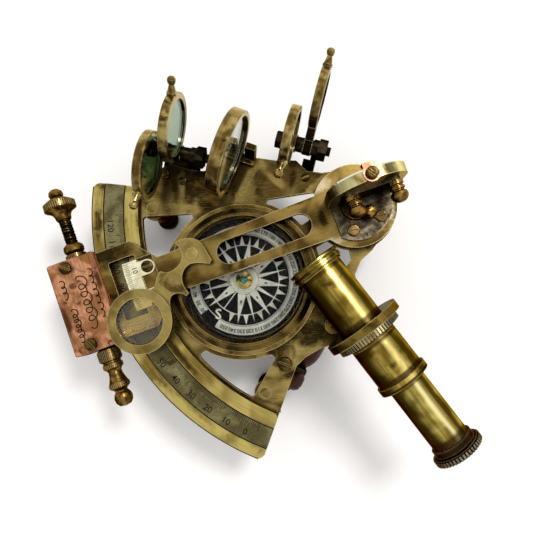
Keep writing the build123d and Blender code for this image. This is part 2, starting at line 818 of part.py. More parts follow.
def shade_bracket(name, axle, rise, az, wall_row, foot_rows, foot_in, leg_ends, screws):
    """A black angle bracket: a foot under the plate and a leg up past the plate's edge to the axle."""
    normal = heading(az - 90)
    foot_base = plate_bottom - foot_wall
    base = Vector(axle[0], axle[1], foot_base)
    axle_up = limb_top + rise - foot_base
    with BuildPart() as bracket:
        with BuildSketch(facing(base + normal * wall_row, az)):
            with BuildLine():
                Polyline(
                    (leg_ends[0], 0), (leg_ends[1], 0), (shade_eye_radius - 0.4, axle_up - 1.4),
                    (0.4, axle_up + 2.8), (-1.6, axle_up + 2.4), (leg_ends[0], axle_up - 4.0), close=True,
                )
            make_face()
            with Locations((0, axle_up)):
                Circle(shade_eye_radius)
                Circle(axle_radius + seat_fit, mode=Mode.SUBTRACT)
        extrude(amount=bracket_wall)
        with BuildSketch(flat(foot_base, az, axle)):
            with Locations(((foot_in + leg_ends[1]) / 2, -(foot_rows[0] + foot_rows[1]) / 2)):
                Rectangle(leg_ends[1] - foot_in, foot_rows[1] - foot_rows[0])
            with Locations(*[(t, -n) for n, t in screws]):
                Circle(tiny_shaft + seat_fit, mode=Mode.SUBTRACT)
        extrude(amount=foot_wall)
    save(bracket.part, name)


def shade_bolt(name, axle, rise, az, rows, wall_row):
    """The axle: a hexagon-head bolt with a spacer sleeve between the shades and a nut."""
    normal = heading(az - 90)
    origin = Vector(axle[0], axle[1], limb_top + rise)
    half = shade_thickness / 2
    low_row, high_row = sorted(rows)
    with BuildPart() as bolt:
        head_plane = across(origin + normal * (low_row - half - run_fit), az - 90)
        with BuildSketch(head_plane):
            Circle(bolt_radius)
        extrude(amount=-bolt_collar)
        with BuildSketch(head_plane.offset(-bolt_collar)):
            RegularPolygon(bolt_head_radius, 6)
        extrude(amount=-bolt_head)
        with BuildSketch(head_plane.offset(-bolt_collar)):
            Circle(axle_radius)
        extrude(amount=bolt_collar + run_fit + half - low_row + wall_row + bolt_tail)
        for low, high in ((low_row + half + run_fit, high_row - half - run_fit),
                          (high_row + half + run_fit, wall_row)):
            with BuildSketch(across(origin + normal * low, az - 90)):
                Circle(bolt_radius)
            extrude(amount=high - low)
        with BuildSketch(across(origin + normal * (wall_row + bracket_wall), az - 90)):
            RegularPolygon(bolt_nut_radius, 6)
        extrude(amount=bolt_nut_length)
    save(bolt.part, name)


shade_bracket("horizon_shade_bracket", horizon_axle, horizon_axle_rise, horizon_shade_az,
              horizon_wall_row, horizon_bracket_rows, horizon_bracket_in, horizon_bracket_leg,
              horizon_foot_holes)
shade_bolt("horizon_shade_bolt", horizon_axle, horizon_axle_rise, horizon_shade_az,
           horizon_shade_rows, horizon_wall_row)
shade_bracket("index_shade_bracket", index_axle, index_axle_rise, index_shade_az,
              index_wall_row, index_bracket_rows, index_bracket_in, index_bracket_leg,
              index_foot_holes)
shade_bolt("index_shade_bolt", index_axle, index_axle_rise, index_shade_az,
           index_shade_rows, index_wall_row)

with BuildPart() as bracket_screws:
    for spot in shade_foot_screws:
        add(slotted_screw(flat(plate_top, 0, (spot.X, spot.Y)), tiny_head, 0.7,
                          tiny_shaft, plate_thickness + foot_wall, 80.0))
    for spot in glass_foot_screws:
        add(slotted_screw(flat(foot_top, 0, (spot.X, spot.Y)), small_head, 0.9,
                          screw_shaft, plate_thickness + horizon_foot_thickness, 50.0))
    for spot in holder_screw_spots:
        add(slotted_screw(flat(plate_top + holder_foot_thickness, 0, (spot.X, spot.Y)), small_head, 0.9,
                          screw_shaft, plate_thickness + holder_foot_thickness, 65.0))
save(bracket_screws.part, "bracket_screws")

# ---------------------------------------------------------------- telescope
scope_dir = heading(scope_az)
scope_plane = across((scope_front[0], scope_front[1], scope_z), scope_az)
inner_radius = draw_radius + run_fit
with BuildPart() as telescope_holder:
    with BuildSketch(scope_plane.offset(holder_at)):
        Circle(holder_radius)
        with Locations((0, -(scope_z - plate_top) / 2)):
            Rectangle(9.0, scope_z - plate_top)
        Circle(body_radius + seat_fit, mode=Mode.SUBTRACT)
    extrude(amount=holder_thickness)
    with BuildSketch(flat(plate_top, scope_az, holder_foot)):
        SlotOverall(2 * holder_foot_radius, 5.6, rotation=90)
        with Locations((3.6, 0)):
            Rectangle(4.8, 9.0)
        with Locations((0, -holder_screw_step), (0, holder_screw_step)):
            Circle(screw_shaft + seat_fit, mode=Mode.SUBTRACT)
    extrude(amount=holder_foot_thickness)
save(telescope_holder.part, "telescope_holder")

lens_seat = 1.6
lens_thickness = 1.8
with BuildPart() as telescope_tube:
    add(turned(scope_plane, [
        (inner_radius + 0.6, 0), (flange_radius, 0), (flange_radius + 0.3, 0.3),
        (flange_radius + 0.3, 0.9), (flange_radius - 0.5, 1.1), (flange_radius - 0.5, 1.4),
        (flange_radius, 1.6), (flange_radius, 2.9), (flange_radius - 0.5, 3.1),
        (flange_radius - 0.5, flange_length), (body_radius, flange_length),
        (body_radius, holder_at + holder_thickness + nut_length + 1.0),
        (mid_radius, holder_at + holder_thickness + nut_length + 1.0), (mid_radius, mid_end),
        (ring_radius, mid_end), (ring_radius, mid_end + ring_length),
        (inner_radius, mid_end + ring_length), (inner_radius, lens_seat + lens_thickness),
        (inner_radius + 0.6, lens_seat + lens_thickness),
    ]))
save(telescope_tube.part, "telescope_tube")

with BuildPart() as objective_lens:
    with BuildSketch(scope_plane.offset(lens_seat)):
        Circle(inner_radius + 0.6 - seat_fit)
    extrude(amount=lens_thickness)
save(objective_lens.part, "objective_lens")

with BuildPart() as telescope_nut:
    with BuildSketch(scope_plane.offset(holder_at + holder_thickness)):
        Circle(nut_radius)
        Circle(body_radius + seat_fit, mode=Mode.SUBTRACT)
    extrude(amount=nut_length)
    chamfer(telescope_nut.edges().filter_by(GeomType.CIRCLE).filter_by(lambda e: e.radius > 9.0), 0.5)
save(telescope_nut.part, "telescope_nut")

with BuildPart() as draw_tube:
    add(turned(scope_plane, [
        (draw_radius - draw_wall, draw_start), (draw_radius, draw_start), (draw_radius, draw_end),
        (draw_radius - draw_wall, draw_end),
    ]))
save(draw_tube.part, "draw_tube")

with BuildPart() as eyepiece_cap:
    add(turned(scope_plane, [
        (2.6, draw_end), (cap_neck_radius - 0.3, draw_end), (cap_neck_radius, draw_end + 0.3),
        (cap_neck_radius, draw_end + cap_neck_length - 0.4), (cap_eye_radius, draw_end + cap_neck_length),
        (cap_eye_radius, draw_end + cap_eye_length - 0.4),
        (cap_eye_radius - 0.4, draw_end + cap_eye_length), (5.2, draw_end + cap_eye_length),
        (2.6, draw_end + cap_eye_length - 1.6),
    ]))
save(eyepiece_cap.part, "eyepiece_cap")

with BuildPart() as eyepiece_lens:
    with BuildSketch(scope_plane.offset(draw_end - 1.6)):
        Circle(draw_radius - draw_wall - seat_fit)
    extrude(amount=1.6)
save(eyepiece_lens.part, "eyepiece_lens")

# ---------------------------------------------------------------- index arm
arm_plane = flat(arm_bottom, arm_az)
with BuildPart() as index_arm:
    with BuildSketch(arm_plane):
        Circle(head_radius)
        with BuildLine():
            Polyline(
                (0, -rail_root_half), (0, rail_root_half), (neck_end, rail_end_half),
                (shoulder_end, frame_half), (outer_bar_end, frame_half), (outer_bar_end, -frame_half),
                (shoulder_end, -frame_half), (neck_end, -rail_end_half), close=True,
            )
        make_face()
        with Locations(((slot_start + slot_end) / 2, 0)):
            SlotOverall(slot_end - slot_start, 2 * slot_half, mode=Mode.SUBTRACT)
        with Locations(((shoulder_end + outer_bar_start) / 2, 0)):
            RectangleRounded(outer_bar_start - shoulder_end, 2 * window_half, 0.8, mode=Mode.SUBTRACT)
        Circle(pivot_radius + run_fit, mode=Mode.SUBTRACT)
        with Locations((magnifier_u, magnifier_v)):
            Circle(small_shaft + seat_fit, mode=Mode.SUBTRACT)
        with Locations((tab_u, tab_v), (tab_u, -tab_v)):
            Circle(small_shaft + seat_fit, mode=Mode.SUBTRACT)
    extrude(amount=arm_thickness)
    with BuildSketch(arm_plane.offset(arm_thickness)):
        with Locations(((ledge_start + shoulder_end) / 2 + 0.5, 0)):
            Rectangle(shoulder_end - ledge_start + 1.0, 2 * ledge_half)
    extrude(amount=-ledge_depth, mode=Mode.SUBTRACT)
save(index_arm.part, "index_arm")

ledge_top = arm_top - ledge_depth
vernier_top = ledge_top + 0.7
with BuildPart() as vernier_plate:
    with BuildSketch(flat(limb_top + vernier_gap, arm_az)):
        with Locations(((shoulder_end + vernier_reach) / 2, 0)):
            Rectangle(vernier_reach - shoulder_end - 0.2, 2 * vernier_half)
        Circle(vernier_reach, mode=Mode.INTERSECT)
    extrude(amount=vernier_top - limb_top - vernier_gap)
    with BuildSketch(flat(ledge_top, arm_az)):
        for side_v in (-tab_v, tab_v):
            with Locations(((tab_u + shoulder_end) / 2 + 0.2, side_v)):
                Rectangle(shoulder_end - tab_u + 0.4, 2 * tab_radius)
        with Locations((tab_u, tab_v), (tab_u, -tab_v)):
            Circle(tab_radius)
            Circle(small_shaft + seat_fit, mode=Mode.SUBTRACT)
    extrude(amount=vernier_top - ledge_top)
save(vernier_plate.part, "vernier_plate")

# ---------------------------------------------------------------- clamp block
block_low = limb_top - block_half_height
block_top = limb_top + block_half_height
block_mid_u = outer_bar_end + block_depth / 2
block_end_u = outer_bar_end + block_depth
jaw_top = plate_top - side_gap
collar_gap = 0.1
with BuildPart() as clamp_block:
    with BuildSketch(flat(block_low, arm_az)):
        with Locations((block_mid_u, 0)):
            RectangleRounded(block_depth, block_length, 0.8)
    extrude(amount=2 * block_half_height)
    chamfer(clamp_block.faces().sort_by(Axis.Z)[-1].edges(), 0.4)
    with BuildSketch(Plane.XY.offset(jaw_top)):
        Circle(limb_radius + side_gap)
    extrude(amount=limb_thickness + 2 * side_gap, mode=Mode.SUBTRACT)
    with BuildSketch(flat(block_low, arm_az)):
        with Locations(((jaw_reach + block_mid_u) / 2, 0)):
            Rectangle(block_mid_u - jaw_reach, jaw_width)
    extrude(amount=jaw_top - block_low)
    with BuildSketch(across(on_arm(screw_line, -block_length, limb_top), arm_az + 90)):
        Circle(rod_radius + run_fit)
    extrude(amount=2 * block_length, mode=Mode.SUBTRACT)
    with BuildSketch(flat(block_low, arm_az)):
        with Locations((clamp_u, 0)):
            Circle(clamp_shaft_radius + run_fit)
    extrude(amount=jaw_top - block_low, mode=Mode.SUBTRACT)
    with BuildSketch(flat(block_top, arm_az)):
        with Locations((block_screw_u, block_screw_v), (block_screw_u, -block_screw_v)):
            Circle(small_shaft + seat_fit)
    extrude(amount=-block_screw_depth - 0.1, mode=Mode.SUBTRACT)
save(clamp_block.part, "clamp_block")

# ---------------------------------------------------------------- tangent screw
tangent_plane = across(on_arm(screw_line, 0, limb_top), arm_az + 90)
face_v = block_length / 2 + collar_gap
tail_root = face_v + 5.1
with BuildPart() as tangent_screw:
    add(turned(tangent_plane, [
        (0, -rod_top), (rod_radius, -rod_top), (rod_radius, -face_v - 5.5), (2.4, -face_v - 5.4),
        (3.2, -face_v - 4.7), (3.45, -face_v - 3.7), (3.3, -face_v - 2.7), (2.7, -face_v - 2.0),
        (2.4, -face_v - 1.8), (3.2, -face_v - 1.6), (3.3, -face_v - 1.0), (3.2, -face_v),
        (rod_radius, -face_v), (rod_radius, tail_root - 0.1), (0, tail_root - 0.1),
    ]))
save(tangent_screw.part, "tangent_screw")

with BuildPart() as tangent_knob:
    add(turned(tangent_plane, [
        (0, -rod_top), (2.4, -rod_top), (2.6, -rod_top - 0.5), (2.8, -rod_top - 1.6),
        (3.4, -rod_top - 2.7), (4.4, -rod_top - 3.4), (knob_radius - 0.2, -rod_top - 3.8),
        (knob_radius, -rod_top - 4.5), (knob_radius, -rod_top - 5.4),
        (knob_radius - 0.4, -rod_top - 6.3), (4.3, -rod_top - 6.9), (3.4, -rod_top - 7.0),
        (3.3, -rod_top - 7.5), (2.3, -rod_top - 7.7), (1.9, -rod_top - 8.0), (2.3, -rod_top - 8.6),
        (2.5, -rod_top - 9.4), (2.2, -rod_top - 10.4), (1.4, -rod_top - 11.1), (0, -rod_top - 11.3),
    ]))
save(tangent_knob.part, "tangent_knob")

with BuildPart() as tangent_tail:
    add(turned(tangent_plane, [
        (rod_radius + seat_fit, face_v), (2.8, face_v), (3.7, face_v + 0.6), (3.7, face_v + 4.4),
        (3.0, face_v + 4.8), (3.0, face_v + 5.2), (barrel_radius, face_v + 5.5),
        (barrel_radius, face_v + 7.1), (2.6, face_v + 7.5), (2.2, face_v + 8.2), (2.3, face_v + 9.4),
        (2.7, face_v + 10.8), (3.1, face_v + 11.9), (barrel_radius + 0.1, face_v + 12.2),
        (barrel_radius + 0.1, face_v + 13.9), (2.5, face_v + 14.4), (2.0, face_v + 14.9),
        (2.2, face_v + 15.4), (2.8, face_v + 16.2), (3.1, face_v + 17.4), (2.8, face_v + 18.9),
        (1.9, face_v + 20.0), (0, face_v + 20.4), (0, tail_root), (rod_radius + seat_fit, tail_root),
    ]))
save(tangent_tail.part, "tangent_tail")

clamp_spot = on_arm(clamp_u, 0, block_low)
with BuildPart() as clamp_thumbscrew:
    add(turned(flat(block_low, arm_az, (clamp_spot.X, clamp_spot.Y)), [
        (0, -clamp_drop - clamp_head_height), (clamp_head_radius - 0.6, -clamp_drop - clamp_head_height),
        (clamp_head_radius, -clamp_drop - clamp_head_height + 0.6), (clamp_head_radius, -clamp_drop - 0.6),
        (clamp_head_radius - 0.6, -clamp_drop), (2.4, -clamp_drop), (clamp_shaft_radius, -clamp_drop + 1.0),
        (clamp_shaft_radius, jaw_top - block_low - 0.1),
        (0, jaw_top - block_low - 0.1),
    ]))
save(clamp_thumbscrew.part, "clamp_thumbscrew")

# ---------------------------------------------------------------- magnifier
magnifier_spot = on_arm(magnifier_u, magnifier_v, magnifier_z)
magnifier_plane = Plane(magnifier_spot, x_dir=heading(arm_az), z_dir=UP)
lens_across = lens_v - magnifier_v
with BuildPart() as magnifier_frame:
    with BuildSketch(magnifier_plane) as bracket_shape:
        with BuildLine():
            Spline((4.3, -5.3), (0.5, -5.5), (-3.1, -3.5), (-4.5, 0.1), (-5.3, 4.1))
            Line((-5.3, 4.1), (-4.3, 5.1))
            Spline((-4.3, 5.1), (-1.9, 4.0), (2.3, 3.1), (5.7, 6.1), (6.1, 8.9), (5.3, 11.7))
            Line((5.3, 11.7), (6.5, 12.5))
            Spline((6.5, 12.5), (8.5, 10.7), (10.9, 10.8), (12.3, 12.9), (12.5, 15.1))
            Line((12.5, 15.1), (20.1, 15.1))
            Line((20.1, 15.1), (18.1, 6.1))
            Spline((18.1, 6.1), (15.1, 5.7), (13.5, 3.3), (11.7, 1.9))
            Line((11.7, 1.9), (10.5, 2.9))
            Spline((10.5, 2.9), (6.9, 2.7), (3.7, 0.3), (3.3, -2.9), (4.3, -5.3))
        make_face()
        with Locations((lens_reach, lens_across)):
            Circle(lens_rim_radius)
            Circle(lens_radius, mode=Mode.SUBTRACT)
        Circle(1.4 + run_fit, mode=Mode.SUBTRACT)
    extrude(amount=magnifier_thickness)
    with BuildSketch(magnifier_plane):
        with Locations((lens_reach, lens_across)):
            Circle(lens_rim_radius)
            Circle(lens_radius, mode=Mode.SUBTRACT)
    extrude(amount=lens_rim_height)
save(magnifier_frame.part, "magnifier_frame")


def dome(rim, rise, base):
    """Points of a shallow lens face: its edge, a point half way in and its middle."""
    bend = (rim * rim + rise * rise) / (2 * rise)
    half_way = (bend * bend - rim * rim / 4) ** 0.5 - (bend - rise)
    return (rim, base), (rim / 2, base + half_way), (0, base + rise)


lens_edge = 0.8
lens_bulge = 1.0
lens_spot = on_arm(lens_u, lens_v, magnifier_z + 0.7)
lens_top = dome(lens_radius - seat_fit, lens_bulge, lens_edge)
with BuildPart() as magnifier_lens:
    with BuildSketch(Plane(lens_spot, x_dir=heading(arm_az), z_dir=heading(arm_az - 90))):
        with BuildLine():
            ThreePointArc(*lens_top)
            Line((0, lens_edge + lens_bulge), (0, 0))
            Line((0, 0), (lens_radius - seat_fit, 0))
            Line((lens_radius - seat_fit, 0), (lens_radius - seat_fit, lens_edge))
        make_face()
    revolve(axis=Axis(lens_spot, UP))
save(magnifier_lens.part, "magnifier_lens")

with BuildPart() as magnifier_rivet:
    rivet_spot = on_arm(magnifier_u, magnifier_v, 0)
    add(turned(flat(0, 0, (rivet_spot.X, rivet_spot.Y)), [
        (0, arm_bottom), (small_shaft, arm_bottom), (small_shaft, arm_top), (2.6, arm_top),
        (2.6, magnifier_z - run_fit), (1.4, magnifier_z - run_fit),
        (1.4, magnifier_z + magnifier_thickness + run_fit),
        (1.9, magnifier_z + magnifier_thickness + run_fit),
        (1.9, magnifier_z + magnifier_thickness + 0.4), (0, magnifier_z + magnifier_thickness + 0.6),
    ]))
save(magnifier_rivet.part, "magnifier_rivet")

# ---------------------------------------------------------------- index mirror
base_u, base_v = mirror_base_shift
back_v = mirror_v + mirror_thickness / 2
front_v = mirror_v - mirror_thickness / 2
base_spots = [(3.5, 7.8), (-6.6, 6.3)]
ball_screw_spot = (-2.6, 4.1)
tongue_half = 1.8
with BuildPart() as mirror_base:
    with BuildSketch(flat(arm_top, arm_az)):
        with Locations((base_u, base_v)):
            Circle(mirror_base_radius)
        with Locations((0, front_v - mirror_base_radius)):
            Rectangle(4 * mirror_base_radius, 2 * mirror_base_radius, mode=Mode.SUBTRACT)
        with Locations((mirror_base_end + mirror_base_radius, 0)):
            Rectangle(2 * mirror_base_radius, 4 * mirror_base_radius, mode=Mode.SUBTRACT)
        Circle(pivot_head_radius + 0.3, mode=Mode.SUBTRACT)
        with Locations(*base_spots):
            Circle(small_shaft + seat_fit, mode=Mode.SUBTRACT)
    extrude(amount=mirror_base_thickness)
save(mirror_base.part, "mirror_base")

# upright mirror frame: local x runs back along the arm (-u), y runs up
mirror_floor = on_arm(mirror_u, front_v, base_top)
mirror_plane = Plane(origin=mirror_floor, x_dir=-heading(arm_az), z_dir=heading(arm_az + 90))
arch_y = mirror_height - mirror_arch


def arch(radius, low, centre_y):
    """An upright arched outline: a half round on a square foot."""
    with BuildSketch() as shape:
        with BuildLine():
            Line((-radius, centre_y), (-radius, low))
            Line((-radius, low), (radius, low))
            Line((radius, low), (radius, centre_y))
            ThreePointArc((radius, centre_y), (0, centre_y + radius), (-radius, centre_y))
        make_face()
    return shape.sketch


with BuildPart() as mirror_frame:
    with BuildSketch(mirror_plane):
        add(arch(mirror_arch, 0, arch_y))
    extrude(amount=mirror_thickness)
    with BuildSketch(mirror_plane):
        add(arch(mirror_arch - mirror_rim, mirror_rim, arch_y))
    extrude(amount=mirror_glass_thickness, mode=Mode.SUBTRACT)
save(mirror_frame.part, "mirror_frame")

with BuildPart() as mirror_glass:
    with BuildSketch(mirror_plane.offset(-0.6)):
        add(arch(mirror_arch - mirror_rim - seat_fit, mirror_rim + seat_fit, arch_y))
    extrude(amount=mirror_glass_thickness + 0.6 - seat_fit)
save(mirror_glass.part, "mirror_glass")

support_plane = mirror_plane.offset(mirror_thickness)
support_x = 0.8
thumb_holes = [(mirror_u - thumb_low_u, thumb_z), (mirror_u - thumb_high_u, thumb_z)]
with BuildPart() as mirror_support:
    with BuildSketch(support_plane):
        with Locations((support_x, 5.0)):
            Rectangle(19.0, 10.0)
        with Locations((support_x, 10.0)):
            SlotOverall(19.0, 8.6)
        with Locations(*thumb_holes):
            Circle(1.2 + seat_fit, mode=Mode.SUBTRACT)
    extrude(amount=bracket_plate)
    with BuildSketch(flat(base_top, arm_az)):
        with Locations((mirror_u - support_x, back_v + bracket_plate + 0.9)):
            Rectangle(13.0, 2.6)
        with Locations((ball_screw_spot[0], (ball_screw_spot[1] + back_v) / 2)):
            Rectangle(2 * tongue_half, ball_screw_spot[1] - back_v)
        with Locations(ball_screw_spot):
            Circle(tongue_half)
            Circle(small_shaft + seat_fit, mode=Mode.SUBTRACT)
    extrude(amount=bracket_plate)
save(mirror_support.part, "mirror_support")

arm_screw_seats = [
    (tab_u, tab_v, vernier_top, vernier_top - arm_bottom, 30.0),
    (tab_u, -tab_v, vernier_top, vernier_top - arm_bottom, 75.0),
    (block_screw_u, block_screw_v, block_top, block_screw_depth, 15.0),
    (block_screw_u, -block_screw_v, block_top, block_screw_depth, 40.0),
]
for u, v in base_spots:
    arm_screw_seats.append((u, v, base_top, mirror_base_thickness, 70.0))
with BuildPart() as arm_screws:
    for u, v, seat, length, turn in arm_screw_seats:
        spot = on_arm(u, v, seat)
        add(slotted_screw(flat(seat, 0, (spot.X, spot.Y)), arm_head, 0.9, small_shaft, length, turn))
save(arm_screws.part, "arm_screws")

thumb_seat = support_plane.offset(bracket_plate)
with BuildPart() as thumb_screws:
    for x, y in thumb_holes:
        thumb_at = Plane(thumb_seat.from_local_coords(Vector(x, y, 0)), x_dir=thumb_seat.x_dir,
                         z_dir=thumb_seat.z_dir)
        add(turned(thumb_at, [
            (0, -bracket_plate), (screw_shaft, -bracket_plate), (screw_shaft, 0),
            (thumb_radius - 0.4, 0), (thumb_radius - 0.25, 0.2), (thumb_radius - 0.25, 1.3),
            (2.0, 1.6), (2.0, 1.8), (thumb_radius - 0.35, 2.1), (thumb_radius - 0.35, 2.8),
            (1.9, 3.1), (1.9, 3.3), (thumb_radius - 0.2, 3.8), (thumb_radius, 4.6),
            (thumb_radius - 0.15, 5.5), (2.0, 6.3), (1.1, 6.8), (0, 6.9),
        ]))
    # the tilting screw stands in the support's tongue and bears on the base
    ball_place = on_arm(ball_screw_spot[0], ball_screw_spot[1], base_top + bracket_plate)
    add(turned(flat(ball_place.Z, 0, (ball_place.X, ball_place.Y)), [
        (0, -bracket_plate), (small_shaft, -bracket_plate), (small_shaft, 0), (1.8, 0), (1.8, 0.8),
        (1.3, 1.2), (1.3, 1.6), (ball_radius - 0.4, 2.1), (ball_radius, 3.1),
        (ball_radius - 0.2, 4.1), (1.3, 5.0), (0, 5.3),
    ]))
save(thumb_screws.part, "thumb_screws")

clip_x = -0.4
clip_width = 3.8
clip_wall = 0.9
clip_lip = 1.9
clip_pad = 2.5
clip_base = mirror_height + seat_fit
clip_middle = mirror_thickness / 2
with BuildPart() as mirror_clip:
    with BuildSketch(Plane(mirror_plane.from_local_coords(Vector(clip_x, clip_base, 0)),
                           x_dir=mirror_plane.x_dir, z_dir=UP)):
        with Locations((0, -(clip_middle - clip_lip) / 2)):
            Rectangle(clip_width, clip_middle + clip_lip)
        with Locations((0, -clip_middle)):
            Circle(clip_pad)
            Circle(small_shaft + seat_fit, mode=Mode.SUBTRACT)
    extrude(amount=clip_wall)
    with BuildSketch(Plane(mirror_plane.from_local_coords(Vector(clip_x, clip_base, -clip_lip)),
                           x_dir=mirror_plane.x_dir, z_dir=UP)):
        with Locations((0, -clip_wall / 2)):
            Rectangle(clip_width, clip_wall)
    extrude(amount=-2.0)
save(mirror_clip.part, "mirror_clip")

with BuildPart() as clip_screw:
    clip_at = Plane(mirror_plane.from_local_coords(Vector(clip_x, clip_base + clip_wall, clip_middle)),
                    x_dir=mirror_plane.x_dir, z_dir=UP)
    add(slotted_screw(clip_at, arm_head - 0.1, 1.1, small_shaft, clip_wall, 125.0))
save(clip_screw.part, "clip_screw")
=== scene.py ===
import json
from math import cos, radians, sin, tau

import bmesh
import bpy
from mathutils import Matrix, Vector


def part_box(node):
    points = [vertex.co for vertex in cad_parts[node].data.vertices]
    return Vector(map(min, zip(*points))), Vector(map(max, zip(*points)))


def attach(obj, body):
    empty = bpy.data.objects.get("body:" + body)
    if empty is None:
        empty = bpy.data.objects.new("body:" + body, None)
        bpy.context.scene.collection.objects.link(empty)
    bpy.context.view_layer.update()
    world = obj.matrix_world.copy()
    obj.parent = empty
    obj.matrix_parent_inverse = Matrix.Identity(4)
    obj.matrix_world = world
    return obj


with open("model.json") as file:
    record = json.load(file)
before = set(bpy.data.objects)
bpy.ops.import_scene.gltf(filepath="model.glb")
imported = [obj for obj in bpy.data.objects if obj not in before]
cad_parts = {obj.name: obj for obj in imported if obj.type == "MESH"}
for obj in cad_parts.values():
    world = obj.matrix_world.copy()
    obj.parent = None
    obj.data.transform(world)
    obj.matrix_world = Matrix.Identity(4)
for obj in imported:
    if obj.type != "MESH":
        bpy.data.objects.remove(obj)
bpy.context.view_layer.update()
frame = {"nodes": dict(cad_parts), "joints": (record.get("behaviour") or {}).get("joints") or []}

nodes = frame["nodes"]
joints = {joint["name"]: joint for joint in frame["joints"]}

# ------------------------------------------------------------ sizes, in millimetres
MM = Matrix.Scale(0.001, 4)
arm_az = 258.0
scope_az = 5.5
horizon_az = 127.5
shadow_az = 283.0
index_shade_az = 133.0
compass_x, compass_y = 0.6, -44.8
limb_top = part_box("limb")[1].z * 1000.0
card_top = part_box("compass_card")[1].z * 1000.0
vernier_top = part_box("vernier_plate")[1].z * 1000.0
block_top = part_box("clamp_block")[1].z * 1000.0

limb_start, limb_end = 232.0, 308.0
limb_inner, limb_outer = 73.6, 90.0
scale_inner, scale_outer = 79.0, 85.7
zero_az = 302.0
unit_az = 0.5
units = 120
spare_units = 5
figure_reach, figure_size = 83.6, 3.1
vernier_start, vernier_step, vernier_inner = arm_az - 5.6, 0.46, 78.6
vernier_figure_reach, vernier_figure_size = 76.8, 2.4
print_depth = 0.05

scope_front = (9.0, -22.7, 41.0)
nut_at, nut_radius, nut_length = 26.6, 10.4, 2.4
rim_at, rim_radius, rim_length = 70.2, 7.65, 1.9

tangent_u, rod_radius = 94.8, 1.7
thread_start, thread_end = -30.4, -21.5
thread_turns, thread_depth = 11.0, 0.42
milling_root = 0.35

north_az = 5.0
point_base, point_length = 5.0, 10.3
ray_base, ray_length = 5.2, 10.0
tooth_base, tooth_length = 12.1, 3.4
card_band, card_band_width = 17.7, 3.0
letter_reach, letter_az, letter_size = 15.0, 291.5, 5.0


def heading(az, reach=1.0, z=0.0):
    return Vector((reach * cos(radians(az)), reach * sin(radians(az)), z))


def on_arm(u, v, z):
    """A point in the frame from the arm's own directions."""
    return heading(arm_az, u) + heading(arm_az + 90, v) + Vector((0, 0, z))


def level(x, y, z, turn=0.0):
    """A place on a level surface, turned about the vertical."""
    return Matrix.Translation((x, y, z)) @ Matrix.Rotation(radians(turn), 4, "Z")


def along(origin, axis):
    """A place whose z axis runs along a direction."""
    turn = Vector(axis).normalized().to_track_quat("Z", "Y").to_matrix().to_4x4()
    return Matrix.Translation(origin) @ turn


scope_place = along(scope_front, heading(scope_az))
tangent_axis = Vector(joints["tangent_turn"]["axis"])
tangent_place = along(on_arm(tangent_u, 0, limb_top), tangent_axis)


# ------------------------------------------------------------ finishes
def tint(red, green, blue):
    """A colour from its screen values, 0 to 255."""
    steps = [value / 255.0 for value in (red, green, blue)]
    parts = [step / 12.92 if step < 0.04 else ((step + 0.055) / 1.055) ** 2.4 for step in steps]
    return (*parts, 1.0)


# near-black, laid on as painted shade on flanks and lamp-averted sides, and in corners
near_black = tint(20, 14, 4)
brown = tint(62, 44, 16)
lacquer = tint(40, 20, 8)
gilt = tint(218, 200, 140)
bright_graze = (0.9, 0.85, 0.72, 1.0)
grain_size = 0.35
edge_reach = 0.42
corner_reach = 2.2
shade_reach = 12.0
ragged_size, ragged_shift = 1.8, 61


